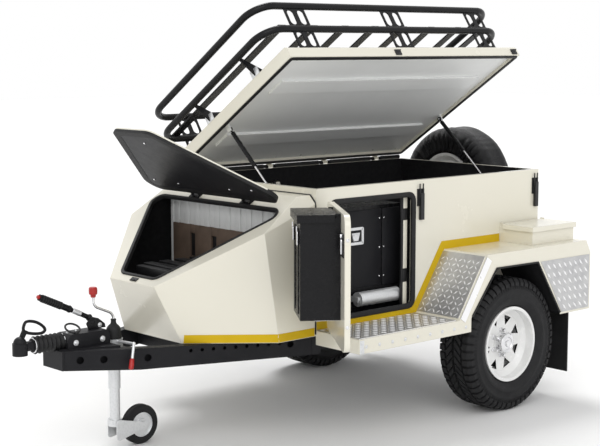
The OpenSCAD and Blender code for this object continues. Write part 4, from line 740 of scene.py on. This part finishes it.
def dress_opening(side, name):
    bm = bmesh.new()
    add_sweep(bm, side_loop(round_rect(*OPENING, OPENING_R), side * TUB_HALF, side), SEAL, (0, side, 0))
    piece("door_seal_" + name, bm, RUBBER, "chassis")
    x0, x1, z0, z1 = OPENING
    inner = side * (TUB_HALF - 0.032)
    bm = bmesh.new()
    strip_x0, strip_x1 = x1 - 0.048, x1 - 0.018
    cuts = [z0 + 0.010, z0 + 0.130, z0 + 0.200, z1 - 0.140, z1 - 0.080, z1 - 0.010]
    for a, b in zip(cuts[0::2], cuts[1::2]):
        add_block(bm, (strip_x0, inner, a), (strip_x1, inner - side * 0.010, b), 0.002)
    piece("jamb_strip_" + name, bm, CREAM, "chassis")
    bm = bmesh.new()
    for a, b in zip(cuts[1:-1:2], cuts[2::2]):
        add_block(bm, (strip_x0, inner, a - 0.004), (strip_x1, inner - side * 0.006, b + 0.004), 0.002)
    add_block(bm, (strip_x0 - 0.016, inner + side * 0.002, z0 + 0.006),
              (strip_x0 - 0.002, inner - side * 0.012, z1 - 0.006), 0.002)
    piece("jamb_pockets_" + name, bm, PLASTIC, "chassis")


both(dress_opening)

CABINET_LOW, CABINET_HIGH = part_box("cabinet")


def dress_cabinet(side, name):
    panel_t = 0.006
    face = side * (CABINET_HIGH[1] + panel_t)
    out = Vector((0, side, 0))
    bm = bmesh.new()
    cx, cz = AXLE_X - 0.810, GROUND_Z + 0.995
    rim = round_rect(cx - 0.055, cx + 0.055, cz - 0.043, cz + 0.043, 0.006)
    add_sweep(bm, side_loop(rim, face, side),
              [(-0.013, -0.001), (0.004, -0.001), (0.003, 0.004), (-0.011, 0.004)], out)
    paddle = [(-0.032, 0.018), (-0.020, -0.024), (0.014, -0.024), (0.026, 0.018)]
    add_rings(bm, [[(cx + x, y, cz + z) for x, z in paddle]
                   for y in sorted((face - side * 0.001, face + side * 0.008))])
    add_block(bm, (cx - 0.022, face + side * 0.006, cz + 0.004),
              (cx + 0.016, face + side * 0.012, cz + 0.013), 0.002)
    piece("cabinet_latch_" + name, bm, GALVANISED, "chassis")
    bm = bmesh.new()
    x0, x1 = CABINET_LOW[0] + 0.090, CABINET_HIGH[0] - 0.012
    z0, z1 = CABINET_LOW[2] + 0.160, CABINET_HIGH[2] - 0.020
    back = face - side * (panel_t + 0.001)
    split = OPENING[0] + 0.486
    add_block(bm, (x0, back, z0), (split, face, z1), 0.003)
    add_block(bm, (split + 0.010, back, z0), (x1, face, z1), 0.003)
    piece("cabinet_panel_" + name, bm, CHARCOAL, "chassis")
    bm = bmesh.new()
    for z in (z0 + 0.05, (z0 + z1) / 2, z1 - 0.05):
        add_screw(bm, (split + 0.022, face, z), out, 0.005)
        add_screw(bm, (split - 0.012, face, z), out, 0.005)
    piece("cabinet_screws_" + name, bm, CHROME, "chassis")


both(dress_cabinet)


def dress_door(side, name, move):
    """Trim of a door and its can box, drawn with the door closed."""
    face = side * DOOR_FACE
    out = Vector((0, side, 0))
    x1 = OPENING[1] + 0.014
    lock_z = OPENING[3] - 0.130
    bm = bmesh.new()
    add_block(bm, (x1 - 0.092, face - side * 0.001, lock_z - 0.055),
              (x1 - 0.022, face + side * 0.006, lock_z + 0.055), 0.004)
    piece("door_lock_plate_" + name, bm, PLASTIC, "door_" + name, move)
    bm = bmesh.new()
    add_block(bm, (x1 - 0.080, face + side * 0.004, lock_z - 0.040),
              (x1 - 0.034, face + side * 0.016, lock_z + 0.030), 0.005)
    add_lathe(bm, [(0.010, 0.0), (0.010, 0.010), (0.007, 0.012)],
              (x1 - 0.057, face + side * 0.004, lock_z + 0.042), out, 16, True)
    for z in (OPENING[2] + 0.10, OPENING[3] - 0.10):
        add_bolt(bm, (x1, side * (DOOR_FACE - 0.014), z), (1, 0, 0), 0.006, 0.006)
    piece("door_lock_" + name, bm, CHROME, "door_" + name, move)
    bm = bmesh.new()
    inner = side * (DOOR_FACE - 0.028)
    inset = 0.060
    panel = round_rect(OPENING[0] + inset, OPENING[1] - inset, OPENING[2] + inset, OPENING[3] - inset, 0.030)
    add_sweep(bm, side_loop(panel, inner, side),
              [(-0.006, -0.003), (0.006, -0.003), (0.004, 0.001), (-0.004, 0.001)], (0, side, 0))
    piece("door_inner_bead_" + name, bm, LINER, "door_" + name, move)


DOOR_OPEN = swing("door_left_hinge")
dress_door(-1, "left", DOOR_OPEN)
dress_door(1, "right", None)

CAN_LOW, CAN_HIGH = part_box("can_box_right")


def dress_can(side, name, move):
    """Latches and brackets of a can box, drawn with its door closed."""
    x0, x1, z0, z1 = CAN_LOW[0], CAN_HIGH[0], CAN_LOW[2], CAN_HIGH[2]
    out_y = CAN_HIGH[1]
    mid = (x0 + x1) / 2
    bm = bmesh.new()
    for x in (mid - 0.090, mid + 0.090):
        add_block(bm, (x - 0.018, side * out_y, z1 - 0.150),
                  (x + 0.018, side * (out_y + 0.008), z1 - 0.085), 0.003)
        bail = [(-0.010, -0.110), (-0.010, -0.062), (0.010, -0.062), (0.010, -0.110)]
        add_tube(bm, [(x + a, side * (out_y + 0.006), z1 + b) for a, b in bail], 0.002, 8)
    piece("can_latches_" + name, bm, CHROME, "door_" + name, move)
    bm = bmesh.new()
    for x in (x0 + 0.06, x1 - 0.10):
        add_block(bm, (x, side * DOOR_FACE, z0 - 0.014),
                  (x + 0.040, side * (DOOR_FACE + 0.120), z0), 0.002)
    piece("can_brackets_" + name, bm, CHROME, "door_" + name, move)


dress_can(-1, "left", DOOR_OPEN)
dress_can(1, "right", None)


# Lid

LID_OPEN = swing("lid_hinge")
bm = bmesh.new()
lid_edge = [(x, y, LID_Z) for x, y in round_rect(LID[0] + 0.016, LID[1] - 0.016,
                                                 LID[2] + 0.016, LID[3] - 0.016, 0.010)]
add_sweep(bm, lid_edge, [(-0.012, 0.002), (0.012, 0.002), (0.010, -0.005), (-0.010, -0.005)], (0, 0, 1))
piece("lid_seal", bm, RUBBER, "lid", LID_OPEN)
bm = bmesh.new()
for x in (AXLE_X - 0.443, TUB_REAR - 0.034):
    add_block(bm, (x - 0.022, LID[2] - 0.006, LID_Z + 0.006),
              (x + 0.022, LID[2] + 0.001, LID_Z + 0.040), 0.002)
    staple = [(-0.014, -0.005, 0.026), (-0.014, -0.014, 0.032), (0.014, -0.014, 0.032),
              (0.014, -0.005, 0.026)]
    add_tube(bm, [(x + a, LID[2] + b, LID_Z + c) for a, b, c in staple], 0.0025, 8)
piece("lid_keepers", bm, PLASTIC, "lid", LID_OPEN)
bm = bmesh.new()
liner_z = LID_Z + 0.016
for i in range(9):
    x = LID[0] + 0.090 + (LID[1] - LID[0] - 0.180) * i / 8
    for y in (LID[2] + 0.052, LID[3] - 0.052):
        add_screw(bm, (x, y, liner_z), (0, 0, -1), 0.006)
piece("liner_screws", bm, CHROME, "lid", LID_OPEN)
LID_SKIRT, RIB_HALF, RIB_H = 0.030, 0.060, 0.014
# White lines along one edge of each liner rib's crest: painted highlight.
bm = bmesh.new()
rib_pitch = (LID[3] - LID[2] - 2 * LID_SKIRT) / 2
for i in range(2):
    y = LID[2] + LID_SKIRT + rib_pitch * (i + 0.5) - RIB_HALF
    ends = (LID[0] + 4 * LID_SKIRT, LID[1] - 4 * LID_SKIRT)
    add_tube(bm, [(x, y, liner_z - RIB_H + 0.001) for x in ends], 0.003, 8)
piece("liner_rib_highlights", bm, WHITE, "lid", LID_OPEN)


def hinge_spans(node, at, reach=0.030):
    """The stretches of x that a node's knuckles take up along an axis through at."""
    xs = sorted(v.co.x for v in NODES[node].data.vertices
                if math.hypot(v.co.y - at.y, v.co.z - at.z) < reach)
    spans = []
    for x in xs:
        if spans and x - spans[-1][1] < 0.120:
            spans[-1][1] = x
        else:
            spans.append([x, x])
    return spans


LID_AXIS = Vector(JOINTS["lid_hinge"]["pos_m"])
stops = [TUB_FRONT + 0.010]
for a, b in hinge_spans("hinge_bases", LID_AXIS):
    stops += [a - 0.008, b + 0.008]
stops.append(TUB_REAR - 0.010)
bm = bmesh.new()
for a, b in zip(stops[0::2], stops[1::2]):
    add_tube(bm, [(a, LID_AXIS.y, LID_AXIS.z), (b, LID_AXIS.y, LID_AXIS.z)], 0.012, 16)
piece("hinge_strip", bm, RUBBER, "chassis")
LID_H = 0.065
RACK_LOW = 0.185
STAY_YS = (-0.300, 0.150)
bm = bmesh.new()
for y in STAY_YS:
    stay = [(0.130, LID_H - 0.001), (0.010, LID_H - 0.001), (-0.060, RACK_LOW - 0.016),
            (-0.048, RACK_LOW - 0.004)]
    add_rings(bm, [[(LID[0] + x, y + e, LID_Z + z) for x, z in stay] for e in (-0.004, 0.004)])
piece("rack_stays", bm, BLACK_STEEL, "lid", LID_OPEN)
bm = bmesh.new()
for y in STAY_YS:
    for reach, height in ((0.010, 0.046), (0.044, 0.004)):
        add_block(bm, (LID[0] + 0.004, y - 0.034, LID_Z + LID_H - 0.001),
                  (LID[0] + reach, y + 0.030, LID_Z + LID_H + height), 0.001)
piece("stay_brackets", bm, GALVANISED, "lid", LID_OPEN)


# Crank, jockey clamp and coupling

LEG_X = JOINTS["jockey_swivel"]["pos_m"][0]
CRANK_FOOT, CRANK_TOP = (corner[2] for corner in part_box("jockey_crank"))
CRANK_REACH = 0.116
BEND = 0.030


def bent(corners, steps=8):
    """A path through corners that are rounded off over BEND on each side."""
    corners = [Vector(c) for c in corners]
    path = [corners[0]]
    for before, at, after in zip(corners, corners[1:], corners[2:]):
        start, end = (at + (far - at).normalized() * BEND for far in (before, after))
        for k in range(steps + 1):
            t = k / steps
            path.append(start.lerp(at, t).lerp(at.lerp(end, t), t))
    return path + [corners[-1]]


bm = bmesh.new()
lip = ((0.037, 0.006), (0.037, 0), (0.040, 0.002), (0.040, 0.010), (0.038, 0.012))
neck = ((0.036, 0.604), (0.033, 0.613), (0.025, 0.623), (0.017, 0.630), (0.0135, 0.637), (0.0125, 0.648),
        (0.014, 0.650), (0.014, 0.655), (0.006, 0.657))
boot = [(r, CRANK_FOOT + z) for r, z in lip] + [(r, GROUND_Z + z) for r, z in neck]
add_lathe(bm, boot, (LEG_X, 0, 0), (0, 0, 1), 40)
crank_boot = piece("crank_boot", bm, RUBBER, "chassis")
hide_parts("jockey_crank")
bm = bmesh.new()
knob_x = LEG_X - CRANK_REACH
crank = [(LEG_X, 0, GROUND_Z + 0.640), (LEG_X, 0, GROUND_Z + 0.682), (knob_x, 0, GROUND_Z + 0.732),
         (knob_x, 0, CRANK_TOP - 0.020)]
add_tube(bm, bent(crank), 0.0065, 14)
piece("crank_rod", bm, CHROME, "chassis")
bm = bmesh.new()
knob = [(0.009, -0.051), (0.0125, -0.049), (0.0135, -0.038), (0.0205, -0.034), (0.0215, -0.018),
        (0.0205, -0.004), (0.016, 0.0), (0.002, 0.0004)]
add_lathe(bm, knob, (knob_x, 0, CRANK_TOP), (0, 0, 1), 28, True)
piece("crank_grip", bm, RED, "chassis")
bm = bmesh.new()
CLAMP_BEND = Vector((LEG_X - 0.030, -0.212, GROUND_Z + 0.567))
CLAMP_END = Vector((LEG_X - 0.066, -0.236, GROUND_Z + 0.452))
grip = [(0.0074, -0.052), (0.0110, -0.047), (0.0125, -0.020), (0.0115, -0.003), (0.005, 0.002)]
add_lathe(bm, grip, CLAMP_END, CLAMP_END - CLAMP_BEND, 24, True)
piece("clamp_grip", bm, RED, "chassis")
bm = bmesh.new()
LEVER_Y = 0.026
LEVER_KNEE = Vector((0.291, LEVER_Y, GROUND_Z + 0.730))
LEVER_TIP = Vector((0.126, LEVER_Y, GROUND_Z + 0.806))
LEVER_BEND = Vector((0.405, LEVER_Y, GROUND_Z + 0.673))
button = [(0.009, -0.002), (0.009, 0.010), (0.006, 0.013)]
add_lathe(bm, button, LEVER_TIP, LEVER_TIP - LEVER_KNEE, 20, True)
piece("lever_button", bm, RED, "chassis")
bm = bmesh.new()
for i in range(9):
    at = LEVER_TIP.lerp(LEVER_KNEE, 0.10 + 0.075 * i)
    ring = [(0.0170, -0.0045), (0.0190, -0.0030), (0.0190, 0.0030), (0.0170, 0.0045)]
    add_lathe(bm, ring, at, LEVER_TIP - LEVER_KNEE, 28)
piece("lever_grip", bm, RUBBER, "chassis")
bm = bmesh.new()
sleeve = [(0.012, 0.0), (0.0138, 0.002), (0.0138, 0.050), (0.012, 0.052)]
add_lathe(bm, sleeve, LEVER_KNEE.lerp(LEVER_BEND, 0.14), LEVER_BEND - LEVER_KNEE, 24)
piece("lever_sleeve", bm, GALVANISED, "chassis")
HOUSING_LOW, HOUSING_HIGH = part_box("coupling_housing")
bm = bmesh.new()
quadrant = [(0.482, 0.0), (0.478, 0.020), (0.440, 0.050), (0.400, 0.062), (0.372, 0.030), (0.385, 0.0)]
add_rings(bm, [[(x, y, HOUSING_HIGH[2] + z) for x, z in quadrant] for y in (0.001, 0.007)])
piece("lever_quadrant", bm, BLACK_STEEL, "chassis")
bm = bmesh.new()
add_bolt(bm, (0.448, 0.001, HOUSING_HIGH[2] + 0.016), (0, -1, 0), 0.008, 0.006)
piece("quadrant_bolt", bm, GALVANISED, "chassis")
bm = bmesh.new()
for x in (HOUSING_LOW[0] + 0.045, HOUSING_HIGH[0] - 0.045):
    for side in SIDES:
        add_bolt(bm, (x, side * HOUSING_HIGH[1], HOUSING_LOW[2] + 0.026), (0, side, 0), 0.010, 0.009)
for x in (HOUSING_LOW[0] + 0.030, HOUSING_LOW[0] + 0.080):
    nipple = [(0.006, -0.002), (0.006, 0.004), (0.003, 0.010)]
    add_lathe(bm, nipple, (x, 0, HOUSING_HIGH[2]), (0, 0, 1), 12, True)
piece("housing_bolts", bm, GALVANISED, "chassis")


def smooth_loop(points, steps=5):
    """A closed curve that passes through the points."""
    loop, count = [], len(points)
    for i in range(count):
        a, b, c, d = (Vector(points[(i + k) % count]) for k in range(-1, 3))
        for k in range(steps):
            t = k / steps
            loop.append(0.5 * (2 * b + (c - a) * t + (2 * a - 5 * b + 4 * c - d) * t ** 2
                               + (3 * b - a - 3 * c + d) * t ** 3))
    return loop


RING_R, RING_WIRE_R, RING_LEAN = 0.036, 0.005, math.radians(28)
RING_FOOT = Vector((0.285, -0.040, HOUSING_HIGH[2] + RING_WIRE_R))
ring_up = Vector((0, math.cos(RING_LEAN), math.sin(RING_LEAN)))
bm = bmesh.new()
steps = 40
ring = [RING_FOOT + ring_up * RING_R + RING_R * (Vector((1, 0, 0)) * math.cos(t) + ring_up * math.sin(t))
        for t in (2 * math.pi * i / steps for i in range(steps))]
add_tube(bm, ring, RING_WIRE_R, 12, True)
add_block(bm, RING_FOOT - Vector((0.010, 0.008, RING_WIRE_R + 0.001)),
          RING_FOOT + Vector((0.010, 0.008, 0.007)), 0.002)
loop = piece("breakaway_loop", bm, PLASTIC, "chassis")
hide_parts("breakaway_ring")
HANDLE_LOOP = ((0.021, 0.680), (0.034, 0.703), (0.062, 0.704), (0.098, 0.692), (0.128, 0.670),
               (0.137, 0.651), (0.118, 0.640), (0.080, 0.642), (0.042, 0.651), (0.024, 0.661))
HANDLE_ARM = ((-0.010, 0.616), (0.014, 0.616), (0.042, 0.660), (0.018, 0.672))
bm = bmesh.new()
add_tube(bm, smooth_loop([(x, 0, GROUND_Z + z) for x, z in HANDLE_LOOP]), 0.0075, 12, True)
add_rings(bm, [[(x, y, GROUND_Z + z) for x, z in HANDLE_ARM] for y in (-0.006, 0.006)])
handle = piece("coupling_loop", bm, BLACK_STEEL, "chassis")
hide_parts("coupling_handle")
GAITER_LOW, GAITER_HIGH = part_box("coupling_gaiter")
bm = bmesh.new()
gaiter_z = (GAITER_LOW[2] + GAITER_HIGH[2]) / 2
for x in (GAITER_LOW[0] + 0.005, GAITER_HIGH[0] - 0.005):
    add_lathe(bm, [(0.034, -0.004), (0.0375, -0.004), (0.0375, 0.004), (0.034, 0.004)],
              (x, 0, gaiter_z), (1, 0, 0), 36)
piece("gaiter_clips", bm, CHROME, "chassis")


# Springs and lamps

SPRING_Y = 0.480
AXLE_HALF, PAD_H, CLAMP_H = 0.030, 0.014, 0.046
clamp_top = AXLE_Z + AXLE_HALF + PAD_H + CLAMP_H
foot = AXLE_Z - 0.050
bm = bmesh.new()
for side in SIDES:
    for x in (AXLE_X - 0.037, AXLE_X + 0.037):
        y0, y1 = side * SPRING_Y - 0.030, side * SPRING_Y + 0.030
        add_tube(bm, [(x, y0, foot), (x, y0, clamp_top), (x, y1, clamp_top), (x, y1, foot)], 0.006, 10)
    add_block(bm, (AXLE_X - 0.052, side * SPRING_Y - 0.044, AXLE_Z - 0.040),
              (AXLE_X + 0.052, side * SPRING_Y + 0.044, AXLE_Z - 0.0305), 0.002)
piece("spring_bolts", bm, GALVANISED, "chassis")

LAMP_LOW, LAMP_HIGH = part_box("tail_lamps")
bm = bmesh.new()
lamp_y1 = LAMP_HIGH[1]
lamp_y0 = lamp_y1 - 0.190
for side in SIDES:
    outline = round_rect(lamp_y0 - 0.002, lamp_y1 + 0.002, LAMP_LOW[2] - 0.002, LAMP_HIGH[2] + 0.002, 0.018)
    path = [(LAMP_LOW[0], side * y, z) for y, z in outline]
    add_sweep(bm, path if side > 0 else path[::-1],
              [(-0.001, 0.0), (0.008, 0.0), (0.006, 0.012), (-0.001, 0.012)], (1, 0, 0))
    mid = side * (lamp_y0 + lamp_y1) / 2
    add_block(bm, (LAMP_LOW[0] + 0.020, mid - 0.003, LAMP_LOW[2]),
              (LAMP_HIGH[0] + 0.001, mid + 0.003, LAMP_HIGH[2]), 0.001)
piece("lamp_frames", bm, PLASTIC, "chassis")


# Spare wheel cover

COVER_LOW, COVER_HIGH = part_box("spare_cover")
COVER_R = (COVER_HIGH[1] - COVER_LOW[1]) / 2
COVER_MID = Vector((0, (COVER_LOW[1] + COVER_HIGH[1]) / 2, (COVER_LOW[2] + COVER_HIGH[2]) / 2))
MOUTH_R = 0.232
PLEATS = 44


def cover_profile():
    """Radius, place along x and share of gather of the cloth, from the back's middle to the mouth."""
    x0, x1 = COVER_LOW[0], COVER_HIGH[0]
    e = 0.070
    line = [(0.010 + (COVER_R - e - 0.010) * i / 8, x1 - 0.004 + 0.004 * math.sin(math.pi * i / 8), 0.0)
            for i in range(9)]
    line += [(COVER_R - e + e * math.sin(a), x1 - e + e * math.cos(a), 0.1 * k / 6)
             for k, a in ((k, math.pi / 2 * k / 6) for k in range(1, 7))]
    line += [(COVER_R - 0.003, x1 - e - (x1 - x0 - 2 * e) * i / 4, 0.1 + 0.2 * i / 4) for i in range(1, 4)]
    line += [(COVER_R - e + e * math.cos(a), x0 + e - e * math.sin(a), 0.3 + 0.5 * k / 6)
             for k, a in ((k, math.pi / 2 * k / 6) for k in range(0, 7))]
    line += [(COVER_R - e - (COVER_R - e - MOUTH_R) * i / 4, x0 + 0.004, 0.8 + 0.2 * i / 4)
             for i in range(1, 5)]
    line += [(MOUTH_R - 0.004, x0 + 0.010, 1.0), (MOUTH_R + 0.002, x0 + 0.018, 0.8)]
    return line


bm = bmesh.new()
rings = []
steps = PLEATS * 8
for r, x, gather in cover_profile():
    ring = []
    for i in range(steps):
        t = 2 * math.pi * i / steps
        phase = PLEATS / 2 * t + 0.9 * math.sin(5 * t) + 0.7 * math.sin(11 * t + 1.0)
        fold = (1 - 2 * abs(math.sin(phase))) * gather * (0.8 + 0.2 * math.sin(6 * t))
        slack = 0.002 * math.sin(7 * t + 9 * x) * math.sin(3 * t)
        reach = r + slack - 0.005 + 0.005 * fold
        lift = 0.010 * fold - 0.004 * gather if gather > 0.35 else 0.0
        ring.append((x + lift, COVER_MID.y + reach * math.cos(t), COVER_MID.z + reach * math.sin(t)))
    rings.append(ring)
add_rings(bm, rings, caps=False)
cover = piece("spare_cover_cloth", bm, CLOTH, "chassis", sharp=60.0)
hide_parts("spare_cover")
bm = bmesh.new()
tyre_x = (COVER_LOW[0] + COVER_HIGH[0]) / 2
half_tyre = [(0.200, 0.080), (0.214, 0.098), (0.250, 0.106), (0.300, 0.106), (0.345, 0.090), (0.355, 0.060)]
add_lathe(bm, [(r, -x) for r, x in half_tyre] + half_tyre[::-1],
          (tyre_x, COVER_MID.y, COVER_MID.z), (1, 0, 0), 72)
piece("spare_tyre", bm, TYRE, "chassis")


# Stage, light and camera

def make_stage():
    bm = bmesh.new()
    bmesh.ops.create_grid(bm, x_segments=1, y_segments=1, size=40.0,
                          matrix=Matrix.Translation((AXLE_X, 0, GROUND_Z - 0.0005)))
    mesh = bpy.data.meshes.new("floor")
    bm.to_mesh(mesh)
    bm.free()
    mesh.materials.append(finish("pale_floor", (0.92, 0.92, 0.92), (0.90, 0.90, 0.90), 0.5, (0.85, 0.95)))
    floor = bpy.data.objects.new("floor", mesh)
    bpy.context.collection.objects.link(floor)


def make_sun(name, strength, spread, azimuth, height):
    """A soft lamp that shines from an azimuth and a height, in degrees."""
    lamp = bpy.data.lights.new(name, "SUN")
    lamp.energy = strength
    lamp.angle = math.radians(spread)
    obj = bpy.data.objects.new(name, lamp)
    obj.rotation_euler = (math.radians(90 - height), 0, math.radians(azimuth))
    bpy.context.collection.objects.link(obj)


def make_world():
    world = bpy.data.worlds.new("studio")
    world.use_nodes = True
    tree = world.node_tree
    path = node_of(tree, "LightPath")
    seen = node_of(tree, "Math", operation="MAXIMUM")
    tree.links.new(path.outputs["Is Camera Ray"], seen.inputs[0])
    tree.links.new(path.outputs["Is Glossy Ray"], seen.inputs[1])
    strength = node_of(tree, "MapRange", **{"To Min": 0.62, "To Max": 1.0})
    tree.links.new(seen.outputs["Value"], strength.inputs["Value"])
    back = tree.nodes["Background"]
    back.inputs["Color"].default_value = (1, 1, 1, 1)
    tree.links.new(strength.outputs["Result"], back.inputs["Strength"])
    bpy.context.scene.world = world


def make_camera():
    """The photograph's camera, as it was fitted to the object's straight edges."""
    lens = bpy.data.cameras.new("camera")
    lens.sensor_width = 36.0
    lens.lens = 85.1
    lens.clip_end = 200.0
    camera = bpy.data.objects.new("camera", lens)
    camera.location = (-3.396, -5.698, 1.411)
    camera.rotation_euler = (math.pi / 2 - 0.124, 0, -0.736)
    bpy.context.collection.objects.link(camera)
    bpy.context.scene.camera = camera


make_stage()
make_sun("key", 1.5, 25, 150, 58)
make_sun("fill", 1.0, 50, -40, 35)
make_world()
make_camera()
bpy.context.scene.view_settings.view_transform = "Standard"
